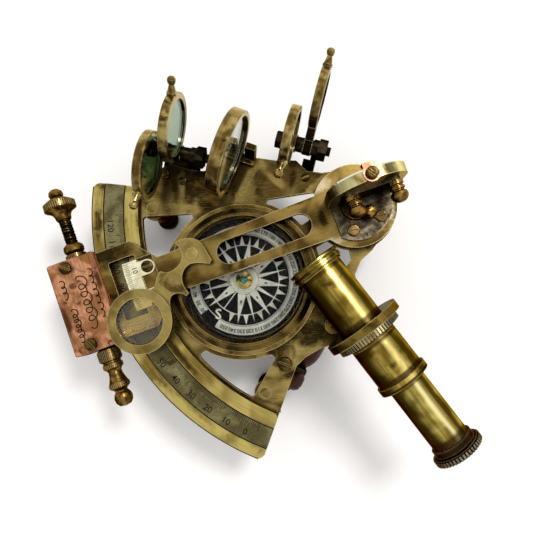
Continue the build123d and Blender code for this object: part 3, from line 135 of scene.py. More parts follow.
class Finish:
    """A node material in the making. Its patterns are measured in millimetres."""

    def __init__(self, name, metal=1.0):
        self.material = bpy.data.materials.new(name)
        self.material.use_nodes = True
        self.tree = self.material.node_tree
        self.shader = self.tree.nodes["Principled BSDF"]
        self.shader.inputs["Metallic"].default_value = metal
        self.ragged = None
        where = self.add("TexCoord")
        self.normal = where.outputs["Normal"]
        grown = self.add("VectorMath", operation="SCALE", Vector=where.outputs["Object"],
                         Scale=1000.0)
        self.point = grown.outputs["Vector"]

    def put(self, socket, value):
        if isinstance(value, bpy.types.NodeSocket):
            self.tree.links.new(value, socket)
        else:
            socket.default_value = value

    def add(self, kind, *values, **named):
        """One node: plain values go to its inputs in order, named ones to a setting or an input."""
        made = self.tree.nodes.new("ShaderNode" + kind)
        for name, value in named.items():
            if name[0].islower():
                setattr(made, name, value)
            else:
                self.put(made.inputs[name.replace("_", " ")], value)
        for socket, value in zip(made.inputs, values):
            self.put(socket, value)
        return made

    def math(self, operation, *values):
        return self.add("Math", *values, operation=operation).outputs[0]

    def ramp(self, value, low, high, bottom=0.0, top=1.0):
        """Smooth step from low to high."""
        made = self.add("MapRange", value, low, high, bottom, top, interpolation_type="SMOOTHSTEP")
        return made.outputs["Result"]

    def mix(self, share, under, over):
        """One colour laid over another."""
        made = self.tree.nodes.new("ShaderNodeMix")
        made.data_type = "RGBA"
        self.put(made.inputs[0], share)
        self.put(made.inputs[6], under)
        self.put(made.inputs[7], over)
        return made.outputs[2]

    def scaled(self, value, share):
        return self.math("MULTIPLY", value, share)

    def noise(self, size, detail=3.0, stretch=(1, 1, 1), turn=0.0, shift=0.0, swirl=0.0,
              at=None):
        """Cloudy pattern with grains of that size, drawn out by stretch along turn."""
        placed = self.add("Mapping", vector_type="TEXTURE", Vector=at or self.point,
                          Location=(shift, 0.7 * shift, 0.4 * shift), Scale=stretch,
                          Rotation=(0, 0, radians(turn)))
        made = self.add("TexNoise", Vector=placed.outputs[0], Scale=1.0 / size, Detail=detail,
                        Distortion=swirl)
        return made.outputs[0]

    def around(self, x, y):
        """Coordinates that run round an upright axis: distance round, distance out, height."""
        moved = self.add("VectorMath", self.point, (x, y, 0), operation="SUBTRACT")
        split = self.add("SeparateXYZ", moved.outputs[0])
        out_x, out_y, height = split.outputs
        squares = [self.math("MULTIPLY", side, side) for side in (out_x, out_y)]
        out = self.math("SQRT", self.math("ADD", *squares))
        angle = self.math("ARCTAN2", out_y, out_x)
        return self.add("CombineXYZ", self.scaled(angle, 60.0), out, height).outputs[0], out

    def height(self):
        """Height above the ground the object stands on."""
        return self.add("SeparateXYZ", self.point).outputs["Z"]

    def reach_along(self, origin, way):
        """Distance along a direction from a point, in millimetres."""
        moved = self.add("VectorMath", self.point, tuple(origin), operation="SUBTRACT")
        return self.shared(moved.outputs[0], tuple(way))

    def shared(self, one, other):
        """How much of one direction lies along the other."""
        return self.add("VectorMath", one, other, operation="DOT_PRODUCT").outputs["Value"]

    def facing(self, way):
        """How far the surface faces that way, from -1 to 1."""
        return self.shared(self.normal, tuple(way))

    def swayed(self, value, cloud, share):
        """A measure made uneven by a cloudy pattern."""
        return self.math("ADD", value, self.scaled(self.math("SUBTRACT", cloud, 0.5), share))

    def off(self, value, centre):
        """Distance of a measure from its centre, either way."""
        return self.math("ABSOLUTE", self.math("SUBTRACT", value, centre))

    def turned_away(self, colour, light, share=0.72):
        """Painted shade on the sides that face from the lamp, painted light on the sides that face
        it.
        """
        side_shade = self.facing(heading(shadow_az))
        colour = self.mix(self.scaled(self.ramp(side_shade, 0.1, 0.9), share), colour, near_black)
        return self.mix(self.scaled(self.ramp(side_shade, -0.2, -0.8), 0.4), colour, light)

    def smudge(self, x, y, length, width, turn):
        """1 in the middle of a long patch on the part, 0 outside it."""
        placed = self.add("Mapping", vector_type="TEXTURE", Vector=self.point, Location=(x, y, 0),
                          Rotation=(0, 0, radians(turn)), Scale=(length, width, 1e6))
        reach = self.add("VectorMath", placed.outputs[0], operation="LENGTH").outputs["Value"]
        if not self.ragged:
            self.ragged = self.math("SUBTRACT", self.noise(ragged_size, 3, shift=ragged_shift), 0.5)
        return self.ramp(self.math("ADD", reach, self.ragged), 1.1, 0.3)

    def hollow(self, reach, open_at=0.86, shut_at=0.35, alone=True):
        """1 in corners and slots, 0 on open faces."""
        made = self.add("AmbientOcclusion", Distance=reach / 1000.0, samples=8, only_local=alone)
        return self.ramp(made.outputs["AO"], open_at, shut_at)

    def edge(self, reach):
        """1 along outer edges, 0 on faces."""
        soft = self.add("Bevel", Radius=reach / 1000.0, samples=4).outputs[0]
        flat = self.add("NewGeometry").outputs["Normal"]
        return self.ramp(self.shared(soft, flat), 0.985, 0.80)

    def bump(self, height, strength):
        """Fine relief, a fifth of a millimetre deep at full strength."""
        made = self.add("Bump", Strength=strength, Distance=0.0002, Height=height)
        self.put(self.shader.inputs["Normal"], made.outputs["Normal"])

    def done(self, colour, rough, **fixed):
        """Colour, roughness and the settings that are the same all over."""
        self.put(self.shader.inputs["Base Color"], colour)
        self.put(self.shader.inputs["Roughness"], rough)
        for name, value in fixed.items():
            self.put(self.shader.inputs[name.replace("_", " ")], value)
        return self.material


def brass(name, light, body, dark, grain=0.0, stretch=(10, 1, 1), round_at=None, patina=0.5,
          flank=0.8, rubbed=0.2, rough=0.26, shift=0.0, painted_reflection=None, dark_spots=(), light_spots=(),
          edge_wear_and_highlight=0.9, cloud_size=9.0, round_tone=None, streaks=0.12, rim=None, darker_below=None,
          painted_shade_near_parts=0.0, light_spot_tone=None, face=None, graze=(0.5, 0.38, 0.2, 1), side_shade=0.72,
          rings=()):
    """Aged brass: cloudy, rubbed along one way, darker in corners, with painted shade on flanks, on
    the side facing from the lamp and near other parts, painted reflections and highlights in
    places, and bright edges.
    """
    f = Finish(name)
    at = f.around(*round_at)[0] if round_at else None
    lines = f.noise(grain_size, 2, stretch, grain, shift, at=at)
    broad = f.noise(2.0, 2, stretch, grain, shift + 13, at=at)
    cloud = f.noise(cloud_size, 2, shift=shift + 31, swirl=0.3)
    blots = f.noise(cloud_size * 0.8, 4, shift=shift + 77, swirl=0.5)
    specks = f.noise(0.9, 3, shift=shift + 5)
    colour = f.mix(f.ramp(cloud, 0.38, 0.64), body, light)
    colour = f.mix(f.scaled(f.ramp(broad, 0.44, 0.66), streaks), colour, dark)
    darkened = f.scaled(f.ramp(blots, 0.68 - 0.22 * patina, 0.84 - 0.22 * patina), 0.92)
    # dark spots: staining, and on the plate, limb and arm also painted shade and painted
    # reflections
    for patch in dark_spots:
        darkened = f.math("MAXIMUM", darkened, f.scaled(f.smudge(*patch), 0.95))
    colour = f.mix(darkened, colour, dark)
    # light spots: painted highlights and painted reflections, and a lighter tone on the mirror base
    # screws
    for spot in light_spots:
        colour = f.mix(f.scaled(f.smudge(*spot), 0.85), colour, light_spot_tone or light)
    # painted light: faces turned towards way take a pale tone
    if face:
        way, tone, share = face
        colour = f.mix(f.scaled(f.ramp(f.facing(way), 0.7, 0.95), share), colour, tone)
    colour = f.mix(f.scaled(f.ramp(lines, 0.44, 0.66), rubbed), colour, brown)
    colour = f.mix(f.scaled(f.ramp(lines, 0.46, 0.30), rubbed), colour, light)
    colour = f.mix(f.scaled(f.ramp(specks, 0.62, 0.74), 0.25), colour, brown)
    # painted reflection round a tube: a dark flank, a bright line near the top and a dark line
    # further round
    if painted_reflection:
        way, centre, reach, share, over = painted_reflection
        across = f.swayed(f.facing(way), cloud, 0.25)
        bright_line, dark_line = f.off(across, centre), f.off(across, 0.66)
        colour = f.mix(f.scaled(f.ramp(across, -0.34, -0.74), 0.94), colour, dark)
        colour = f.mix(f.scaled(f.ramp(bright_line, reach, 0.0), share), colour, over)
    # painted shade and painted dark reflection on faces that do not face up
    if flank:
        broken = f.swayed(f.facing((0, 0, 1)), cloud, 0.8)
        colour = f.mix(f.scaled(f.ramp(broken, 0.62, 0.06), flank), colour, near_black)
    # a tone by distance from the compass centre: painted shade inside the bowl, a pale grey on the
    # card cap beyond its middle
    if round_tone:
        tone, reach, far = round_tone
        out = f.around(compass_x, compass_y)[1]
        colour = f.mix(f.ramp(out, far, reach), colour, tone)
    # painted shade on faces turned from the lamp, painted light on faces turned to it
    colour = f.turned_away(colour, light, side_shade)
    # painted reflection: the dark line further round the tube
    if painted_reflection:
        colour = f.mix(f.scaled(f.ramp(dark_line, 0.22, 0.06), 0.9), colour, dark)
    if rings:
        reached = f.reach_along(scope_front, heading(scope_az))
        for at_ring, half, share in rings:
            line = f.scaled(f.ramp(f.off(reached, at_ring), half, 0.4 * half), share)
            colour = f.mix(line, colour, lacquer)
    # darker towards the bottom below the given heights; on the legs this is painted shade under the
    # plate
    if darker_below:
        colour = f.mix(f.ramp(f.height(), *darker_below), colour, near_black)
    # painted shade near other parts, from occlusion over a wide reach
    if painted_shade_near_parts:
        deep = f.hollow(shade_reach, 0.97, 0.35, False)
        colour = f.mix(f.scaled(deep, painted_shade_near_parts), colour, dark)
    colour = f.mix(f.hollow(corner_reach), colour, near_black)
    # bright edges: worn edges with a painted edge highlight
    colour = f.mix(f.scaled(f.edge(edge_reach), edge_wear_and_highlight), colour, rim or light)
    gloss = f.math("ADD", f.scaled(lines, 0.14), f.scaled(darkened, 0.14))
    f.bump(f.math("ADD", lines, f.scaled(specks, 0.6)), 0.12)
    return f.done(colour, f.math("ADD", gloss, rough - 0.07), Specular_Tint=graze)


def plain_metal(name, body, light, dark, rough, grain=0.0, stretch=(16, 1, 1), hollow=near_black,
                edge_wear_and_highlight=0.6, shift=0.0, metal=1.0, flank=0.0, dark_spots=(), patina=0.5, size=5.0,
                painted_shade_near_parts=0.0):
    """Copper, nickel silver, blackened steel: two tones of one metal, with staining and rubbing,
    painted shade on flanks, on the side facing from the lamp and near other parts, and bright
    edges.
    """
    f = Finish(name, metal)
    lines = f.noise(grain_size, 2, stretch, grain, shift)
    cloud = f.noise(size, 5, shift=shift + 11, swirl=0.6)
    specks = f.noise(0.8, 3, shift=shift + 5)
    colour = f.mix(f.ramp(cloud, 0.38, 0.62), body, light)
    blots = f.noise(size * 0.8, 6, shift=shift + 3, swirl=0.8)
    darkened = f.scaled(f.ramp(blots, 0.70 - 0.24 * patina, 0.84 - 0.24 * patina), 0.85)
    # dark spots of staining
    for patch in dark_spots:
        darkened = f.math("MAXIMUM", darkened, f.smudge(*patch))
    colour = f.mix(darkened, colour, dark)
    colour = f.mix(f.scaled(f.ramp(lines, 0.44, 0.68), 0.35), colour, dark)
    colour = f.mix(f.scaled(f.ramp(specks, 0.60, 0.72), 0.4), colour, dark)
    # painted shade and painted dark reflection on faces that do not face up
    if flank:
        colour = f.mix(f.scaled(f.ramp(f.facing((0, 0, 1)), 0.6, 0.1), flank), colour, hollow)
    # painted shade on faces turned from the lamp, painted light on faces turned to it
    colour = f.turned_away(colour, light)
    # painted shade near other parts, from occlusion over a wide reach
    if painted_shade_near_parts:
        deep = f.hollow(shade_reach, 0.97, 0.35, False)
        colour = f.mix(f.scaled(deep, painted_shade_near_parts), colour, dark)
    colour = f.mix(f.hollow(1.8), colour, hollow)
    # bright edges: worn edges with a painted edge highlight
    colour = f.mix(f.scaled(f.edge(edge_reach), edge_wear_and_highlight), colour, light)
    f.bump(f.math("ADD", lines, cloud), 0.12)
    return f.done(colour, f.math("ADD", f.scaled(lines, 0.2), rough - 0.1),
                  Specular_Tint=(*(0.5 * part + 0.1 for part in body[:3]), 1))


def glass(name, colour, bend=1.46, silver=0.0):
    """Clear or coloured glass, faintly smeared, silvered if need be."""
    haze = 0.02
    f = Finish(name, silver)
    breath = f.noise(5.0, 4, swirl=0.5)
    f.bump(breath, 0.02)
    darker = (*(0.9 * part for part in colour[:3]), 1)
    smeared = f.mix(f.ramp(breath, 0.3, 0.7), colour, darker)
    rough = f.ramp(breath, 0.3, 0.9, haze, haze + 0.05)
    return f.done(smeared, rough, Transmission_Weight=1.0, IOR=bend)


def paint(name, colour, worn, rough=0.5, spread=0.6, gloss=0.1):
    """Printing or enamel: one tone broken by a second where it has worn."""
    f = Finish(name, 0.0)
    cloud = f.noise(2.6, 4, shift=3)
    f.bump(f.noise(1.4, 3), 0.04)
    tone = f.mix(f.scaled(f.ramp(cloud, 0.45, 0.75), spread), colour, worn)
    return f.done(tone, f.ramp(cloud, 0.2, 0.8, rough - 0.1, rough + 0.1), Specular_IOR_Level=gloss)


def turned_wood(name):
    """Red-brown stained wood, its fibres along the grip."""
    f = Finish(name, 0.0)
    grip_az = 121.3
    fibres = f.noise(0.7, 5, (14, 1, 1), grip_az)
    figure = f.noise(5.0, 4, (3, 1, 1), grip_az, 9, 1.0)
    colour = f.mix(f.ramp(figure, 0.35, 0.65), tint(26, 9, 5), tint(66, 26, 12))
    colour = f.mix(f.scaled(f.ramp(fibres, 0.45, 0.7), 0.6), colour, tint(22, 8, 4))
    colour = f.mix(f.hollow(1.5), colour, tint(12, 5, 3))
    f.bump(fibres, 0.2)
    return f.done(colour, f.ramp(fibres, 0.3, 0.7, 0.3, 0.5), Coat_Weight=0.05, Coat_Roughness=0.2,
                  Specular_IOR_Level=0.12)


def jewel_green(name):
    """A polished green stone, cloudy inside."""
    f = Finish(name, 0.0)
    depth = f.noise(0.9, 4, swirl=1.0)
    colour = f.mix(f.ramp(depth, 0.35, 0.65), tint(8, 72, 52), tint(40, 150, 110))
    f.bump(depth, 0.05)
    return f.done(colour, f.ramp(depth, 0.3, 0.7, 0.06, 0.14), Coat_Weight=1.0, Coat_Roughness=0.03)


def silvering(name):
    """Silver behind the mirror, gone brown in spots."""
    f = Finish(name, 1.0)
    spots = f.noise(3.0, 6, swirl=0.8)
    colour = f.mix(f.ramp(spots, 0.60, 0.75), tint(226, 230, 228), tint(120, 112, 92))
    f.bump(spots, 0.02)
    return f.done(colour, f.ramp(spots, 0.4, 0.8, 0.03, 0.2))


# Dark spots (staining, painted shade, painted reflections) and light spots (painted highlights and
# reflections): middle x and y, length, width, turn.
# On the plate: staining, with painted shade and painted reflections of nearby parts among the
# spots.
plate_stains_and_shade = [
    (-28.5, -28.8, 11.0, 2.0, -56), (-39.5, -48.0, 8.5, 1.6, -29), (-36.2, -43.9, 10.5, 3.6, -29),
    (-48.5, -51.4, 5.0, 2.4, 60), (-32.0, -24.0, 4.0, 2.4, 130), (25.1, -41.2, 8.0, 4.5, 91),
    (26.8, -49.6, 4.0, 2.6, -6), (15.3, -23.1, 16.0, 2.4, -29), (-14.0, -3.0, 5.0, 2.0, 30),
    (36.5, -47.0, 7.0, 2.0, 80), (27.0, -66.0, 12.0, 4.5, 60), (27.5, -34.0, 9.0, 5.0, 60),
    (-20.0, -12.0, 6.0, 1.6, 140), (-34.0, -43.3, 7.0, 3.6, 58), (-27.7, -42.3, 5.0, 3.0, 30),
    (29.8, -35.4, 8.0, 4.0, 75), (30.0, -53.0, 8.0, 3.6, 45),
]
# Painted highlights on the plate.
plate_highlights = [
    (-26.6, -27.2, 10.0, 1.7, -56), (-38.8, -45.4, 7.0, 1.4, -31), (-32.5, -50.1, 8.7, 1.4, 53),
    (-13.6, -6.9, 8.8, 1.6, 101), (32.0, -53.1, 4.5, 2.6, 52), (-22.0, -17.0, 6.0, 1.8, 20),
]
# On the limb: staining, with painted shadow of the plate's edge among the spots.
limb_stains_and_shadow = [
    (39.7, -57.4, 8.0, 3.4, 5), (-42.5, -76.8, 8.0, 2.0, -30), (48.0, -66.0, 6.0, 3.0, 60),
    (10.0, -76.5, 14.0, 1.6, 8), (-50.0, -66.0, 8.0, 2.0, 50),
]
# Painted highlights on the limb.
limb_highlights = [
    (-37.0, -66.5, 13.0, 2.4, -24), (26.5, -84.6, 18.0, 2.4, 18), (-8.0, -88.0, 14.0, 2.0, -4),
]


def arm_spots(*spots):
    """Places given along and across the arm."""
    return [(*on_arm(u, v, 0).xy, length, width, arm_az + turn)
            for u, v, length, width, turn in spots]


# On the arm: staining, with painted dark reflections among the spots.
arm_stains_and_reflections = arm_spots(
    (86.0, -14.0, 15.0, 7.5, 8), (96.0, 12.0, 7.0, 4.0, 0), (64.0, 5.0, 6.0, 2.0, 0),
    (30.0, 9.0, 12.0, 1.6, 0), (17.0, -8.0, 8.0, 1.6, 0), (11.5, 0.0, 1.8, 3.6, 0),
    (3.0, 4.0, 6.0, 5.0, 0), (45.0, -8.0, 9.0, 2.0, 0),
)
# Painted highlights on the arm.
arm_highlights = arm_spots(
    (81.0, 12.5, 11.0, 4.0, 0), (9.0, -10.5, 5.0, 3.0, 0), (13.0, 9.0, 8.0, 1.8, 0),
    (40.0, 8.0, 10.0, 1.4, 0), (-9.0, 4.0, 6.0, 3.0, 90), (20.0, -9.0, 6.0, 1.2, 0),
)
# Painted dark and bright reflections along the curved mirror frame.
arch_dark_reflections = [(-3.2, -10.8, 12.0, 6.0, 0), (0.2, 9.8, 12.0, 2.8, 0)]
arch_bright_reflections = [(-2.9, -3.4, 12.0, 3.6, 0), (-1.0, 4.2, 12.0, 3.6, 0), (3.3, 14.2, 12.0, 2.8, 0)]
# A lighter tone on the two screws of the mirror base.
base_screws = [(6.5, -5.1, 3.4, 3.4, 0), (7.4, 5.2, 3.4, 3.4, 0)]
block_stains = arm_spots(
    (97.8, -13.4, 3.9, 3.4, 20 - arm_az), (97.8, 13.4, 3.9, 3.4, 20 - arm_az),
    (88.5, -6.0, 5.0, 1.6, 90), (103.0, 4.0, 8.0, 1.8, 90),
)

across_scope = heading(scope_az + 90)
looks = {
    # plate: painted shade near other parts
    "plate": brass("plate_brass", tint(160, 138, 80), tint(92, 73, 34), tint(30, 21, 7), grain=60,
                   patina=0.74, shift=12, dark_spots=plate_stains_and_shade, light_spots=plate_highlights, cloud_size=12.0,
                   rim=tint(206, 190, 136), painted_shade_near_parts=0.85),
    "limb": brass("limb_brass", tint(194, 175, 100), tint(126, 103, 46), tint(50, 36, 12),
                  round_at=(0, 0), stretch=(24, 1, 1), patina=0.5, shift=40, cloud_size=12.0,
                  rim=tint(214, 200, 140), dark_spots=limb_stains_and_shadow, light_spots=limb_highlights),
    "arm": brass("arm_brass", tint(142, 118, 62), tint(78, 59, 24), tint(30, 21, 7), grain=arm_az,
                 patina=0.68, shift=3, dark_spots=arm_stains_and_reflections, light_spots=arm_highlights, cloud_size=10.0,
                 rim=tint(220, 206, 156), light_spot_tone=tint(196, 182, 146)),
    "magnifier": brass("magnifier_brass", tint(154, 135, 78), tint(112, 93, 48), tint(70, 52, 24),
                       grain=20, patina=0.45, stretch=(6, 1, 1), shift=21, rough=0.32, rim=gilt),
    # tube, draw tube and nut carry painted reflection lines along their length
    "tube": brass("tube_brass", tint(186, 162, 76), tint(118, 96, 32), tint(44, 30, 4),
                  grain=scope_az, stretch=(24, 1, 1), patina=0.6, shift=8, cloud_size=7.0, side_shade=0.6,
                  streaks=0.5, painted_reflection=(across_scope, 0.24, 0.24, 0.8, tint(214, 196, 120)),
                  rings=((0.1, 0.5, 0.9), (1.25, 0.5, 0.9), (2.2, 0.35, 0.5), (3.2, 0.55, 0.9),
                         (4.4, 1.0, 0.6), (23.4, 1.6, 0.8), (30.0, 1.6, 0.8), (42.6, 1.1, 0.85),
                         (45.2, 0.7, 0.9))),
    "draw": brass("draw_brass", tint(196, 176, 92), tint(122, 101, 36), tint(50, 34, 6),
                  grain=scope_az, stretch=(28, 1, 1), patina=0.58, shift=50, cloud_size=7.0,
                  side_shade=0.55, streaks=0.5,
                  painted_reflection=(across_scope, 0.24, 0.22, 0.9, tint(238, 226, 160)),
                  rings=((46.0, 1.2, 0.7), (67.0, 2.6, 0.85))),
    "holder": brass("holder_brass", tint(132, 108, 50), tint(54, 40, 15), tint(16, 11, 4),
                    grain=scope_az + 90, patina=0.75, shift=17, cloud_size=6.0,
                    rim=tint(200, 180, 110)),
    "dark_cap": brass("cap_brass", tint(48, 32, 18), tint(20, 13, 7), tint(10, 7, 4),
                      grain=scope_az + 90, patina=0.6, shift=29, rim=tint(150, 130, 96)),
    "ribs": brass("ribbed_brass", tint(158, 134, 80), tint(74, 54, 22), tint(24, 16, 6),
                  grain=scope_az + 90, patina=0.6, shift=70, flank=0.9, rim=tint(170, 150, 104)),
    "nut_ribs": brass("ribbed_nut_brass", tint(176, 164, 130), tint(74, 60, 34), tint(26, 18, 8),
                      patina=0.66, shift=73, flank=0.9, rim=tint(176, 164, 128),
                      painted_reflection=(across_scope, 0.24, 0.3, 0.7, tint(212, 202, 170))),
    "rim_ribs": brass("ribbed_cap_brass", tint(150, 140, 118), tint(48, 39, 26), tint(14, 10, 7),
                      patina=0.66, shift=71, flank=0.95, rim=tint(150, 138, 112), edge_wear_and_highlight=0.8),
    # painted light on the face turned towards horizon_az - 90; darker towards the bottom
    "ring": brass("ring_brass", tint(182, 158, 94), tint(98, 75, 33), tint(34, 22, 7),
                  grain=horizon_az - 90, stretch=(1, 16, 16), patina=0.72, flank=0.0, shift=66,
                  cloud_size=5.0, rim=tint(214, 198, 148), rough=0.2, edge_wear_and_highlight=0.75,
                  face=(heading(horizon_az - 90), tint(206, 198, 164), 0.85), darker_below=(40.0, 30.0),
                  graze=bright_graze),
    # painted light on the face turned towards index_shade_az - 90; darker towards the bottom
    "shade_ring": brass("shade_ring_brass", tint(182, 158, 94), tint(94, 72, 32), tint(32, 21, 7),
                        grain=index_shade_az - 90, stretch=(1, 16, 16), patina=0.7, flank=0.0,
                        shift=67, cloud_size=4.0, rim=tint(206, 188, 136), darker_below=(46.0, 36.0),
                        edge_wear_and_highlight=0.7, rough=0.2,
                        face=(heading(index_shade_az - 90), tint(196, 188, 152), 0.8),
                        graze=bright_graze),
    "turned": brass("turned_brass", tint(142, 110, 55), tint(66, 46, 17), tint(22, 14, 5),
                    grain=arm_az, stretch=(1, 1, 1), patina=0.66, flank=0.75, shift=90,
                    cloud_size=2.6),
    "thumb": brass("thumb_brass", tint(160, 124, 66), tint(72, 48, 20), tint(20, 12, 5),
                   stretch=(1, 1, 1), patina=0.66, flank=0.85, shift=95, cloud_size=2.6),
    # legs: near-black below the plate, painted shade
    "leg": brass("leg_brass", tint(146, 126, 72), tint(104, 85, 44), tint(60, 45, 20), patina=0.4,
                 stretch=(1, 1, 1), flank=0.5, shift=52, cloud_size=4.0, darker_below=(25.0, 22.0)),
    "dark_screw": brass("dark_screw_brass", tint(92, 74, 38), tint(42, 31, 14), tint(12, 9, 5),
                        patina=0.7, flank=0.85, shift=96, cloud_size=4.0, rim=tint(170, 146, 90),
                        light_spots=base_screws, light_spot_tone=tint(150, 118, 72)),
    # bowl: painted shade inside the bowl
    "bowl": brass("bowl_brass", tint(146, 121, 66), tint(78, 60, 25), tint(26, 18, 7),
                  round_at=(compass_x, compass_y), patina=0.6, flank=0.9, shift=33,
                  round_tone=(tint(22, 17, 8), 22.6, 24.4), rim=gilt),
    "bezel": brass("bezel_brass", tint(110, 88, 46), tint(54, 41, 17), tint(18, 12, 6),
                   round_at=(compass_x, compass_y), patina=0.6, flank=0.9, shift=44, rim=gilt),
    "cap": brass("card_cap_brass", tint(226, 204, 132), tint(176, 148, 76), tint(90, 66, 24),
                 stretch=(1, 1, 1), patina=0.2, flank=0.3, shift=2,
                 round_tone=(tint(190, 188, 176), 3.4, 2.9)),
    "arch": brass("arch_brass", tint(240, 230, 164), tint(150, 120, 56), tint(48, 29, 9),
                  grain=arm_az, stretch=(1, 12, 12), patina=0.5, flank=0.2, shift=7,
                  cloud_size=7.0, dark_spots=arch_dark_reflections, light_spots=arch_bright_reflections),
    "strip": plain_metal("strip_metal", tint(88, 80, 50), tint(130, 122, 84), tint(50, 43, 24),
                         0.36, stretch=(6, 1, 1), grain=270, hollow=tint(50, 46, 26), size=9.0),
    "vernier": plain_metal("vernier_metal", tint(212, 204, 164), tint(242, 236, 204),
                           tint(160, 150, 110), 0.34, grain=arm_az, hollow=tint(84, 76, 48),
                           shift=4, patina=0.3, size=7.0),
    "copper": plain_metal("block_copper", tint(150, 99, 62), tint(206, 147, 110), tint(80, 50, 26),
                          0.34, grain=arm_az + 90, hollow=tint(58, 32, 14), shift=14, flank=0.8,
                          dark_spots=block_stains, patina=0.66),
    "clip": plain_metal("clip_copper", tint(188, 122, 92), tint(222, 162, 132), tint(106, 60, 38),
                        0.3, grain=30, hollow=tint(70, 34, 20), shift=24, flank=0.5, size=2.5),
    # mirror base: painted shade near other parts
    "nickel": plain_metal("base_nickel", tint(72, 62, 46), tint(150, 138, 110), tint(34, 27, 18),
                          0.26, grain=arm_az, hollow=tint(26, 20, 14), shift=34, flank=0.6,
                          patina=0.7, size=4.0, painted_shade_near_parts=0.5),
    "steel": plain_metal("black_steel", tint(18, 15, 10), tint(50, 42, 28), tint(9, 7, 5), 0.34,
                         grain=40, hollow=tint(6, 5, 3), edge_wear_and_highlight=0.4, shift=44),
    "mark": plain_metal("black_wax", tint(16, 13, 7), tint(30, 26, 16), tint(10, 8, 5), 0.6,
                        stretch=(2, 1, 1), hollow=tint(8, 6, 4), edge_wear_and_highlight=0.0, metal=0.0),
    "wood": turned_wood("stained_beech"),
    "clear": glass("clear_glass", tint(248, 250, 246)),
    "magnifying": glass("magnifying_glass", tint(238, 228, 186)),
    "half_silver": glass("half_silvered_glass", tint(226, 234, 222), silver=0.5),
    "thin": glass("compass_pane", tint(250, 251, 248), 1.16),
    "pale_green": glass("pale_green_glass", tint(122, 152, 116)),
    "dark_green": glass("dark_green_glass", tint(46, 68, 32)),
    "jewel": jewel_green("green_jewel"),
    "mirror": silvering("mirror_silver"),
    "card": paint("card_black", tint(8, 8, 9), tint(22, 22, 22), 0.6, gloss=0.0),
    "print": paint("card_white", tint(222, 220, 208), tint(176, 168, 146), 0.5, 0.8),
}
worn_as = {
    "plate": ("frame_plate",),
    "limb": ("limb",),
    "strip": ("degree_scale",),
    "turned": ("limb_rivets", "pivot_pin", "tangent_screw", "tangent_knob", "tangent_tail",
               "clamp_thumbscrew"),
    "leg": ("legs",),
    "holder": ("pivot_spacer", "horizon_bracket", "telescope_holder", "telescope_nut"),
    "wood": ("handle_grip", "handle_knob"),
    "steel": ("handle_brackets", "handle_rod", "compass_needle", "horizon_shade_bracket",
              "horizon_shade_bolt", "index_shade_bracket", "index_shade_bolt"),
    "dark_screw": ("handle_screws", "bracket_screws", "arm_screws", "clip_screw"),
    "bowl": ("compass_bowl",),
    "bezel": ("compass_bezel",),
    "thin": ("compass_glass",),
    "card": ("compass_card",),
    "cap": ("compass_cap",),
    "jewel": ("compass_jewel",),
    "ring": ("horizon_ring",),
    "half_silver": ("horizon_glass",),
    "shade_ring": ("horizon_shade_pale_ring", "horizon_shade_dark_ring", "index_shade_pale_ring",
                   "index_shade_dark_ring"),
    "pale_green": ("horizon_shade_pale_glass", "index_shade_pale_glass"),
    "dark_green": ("horizon_shade_dark_glass", "index_shade_dark_glass"),
    "tube": ("telescope_tube",),
    "clear": ("objective_lens", "eyepiece_lens"),
    "draw": ("draw_tube",),
    "dark_cap": ("eyepiece_cap",),
    "arm": ("index_arm",),
    "vernier": ("vernier_plate",),
    "copper": ("clamp_block",),
    "magnifier": ("magnifier_rivet", "magnifier_frame"),
    "nickel": ("mirror_base", "mirror_support"),
    "arch": ("mirror_frame",),
    "mirror": ("mirror_glass",),
    "clip": ("mirror_clip",),
    "thumb": ("thumb_screws",),
    "magnifying": ("magnifier_lens",),
}
for look, parts in worn_as.items():
    for part in parts:
        for place in nodes[part].material_slots:
            place.material = looks[look]


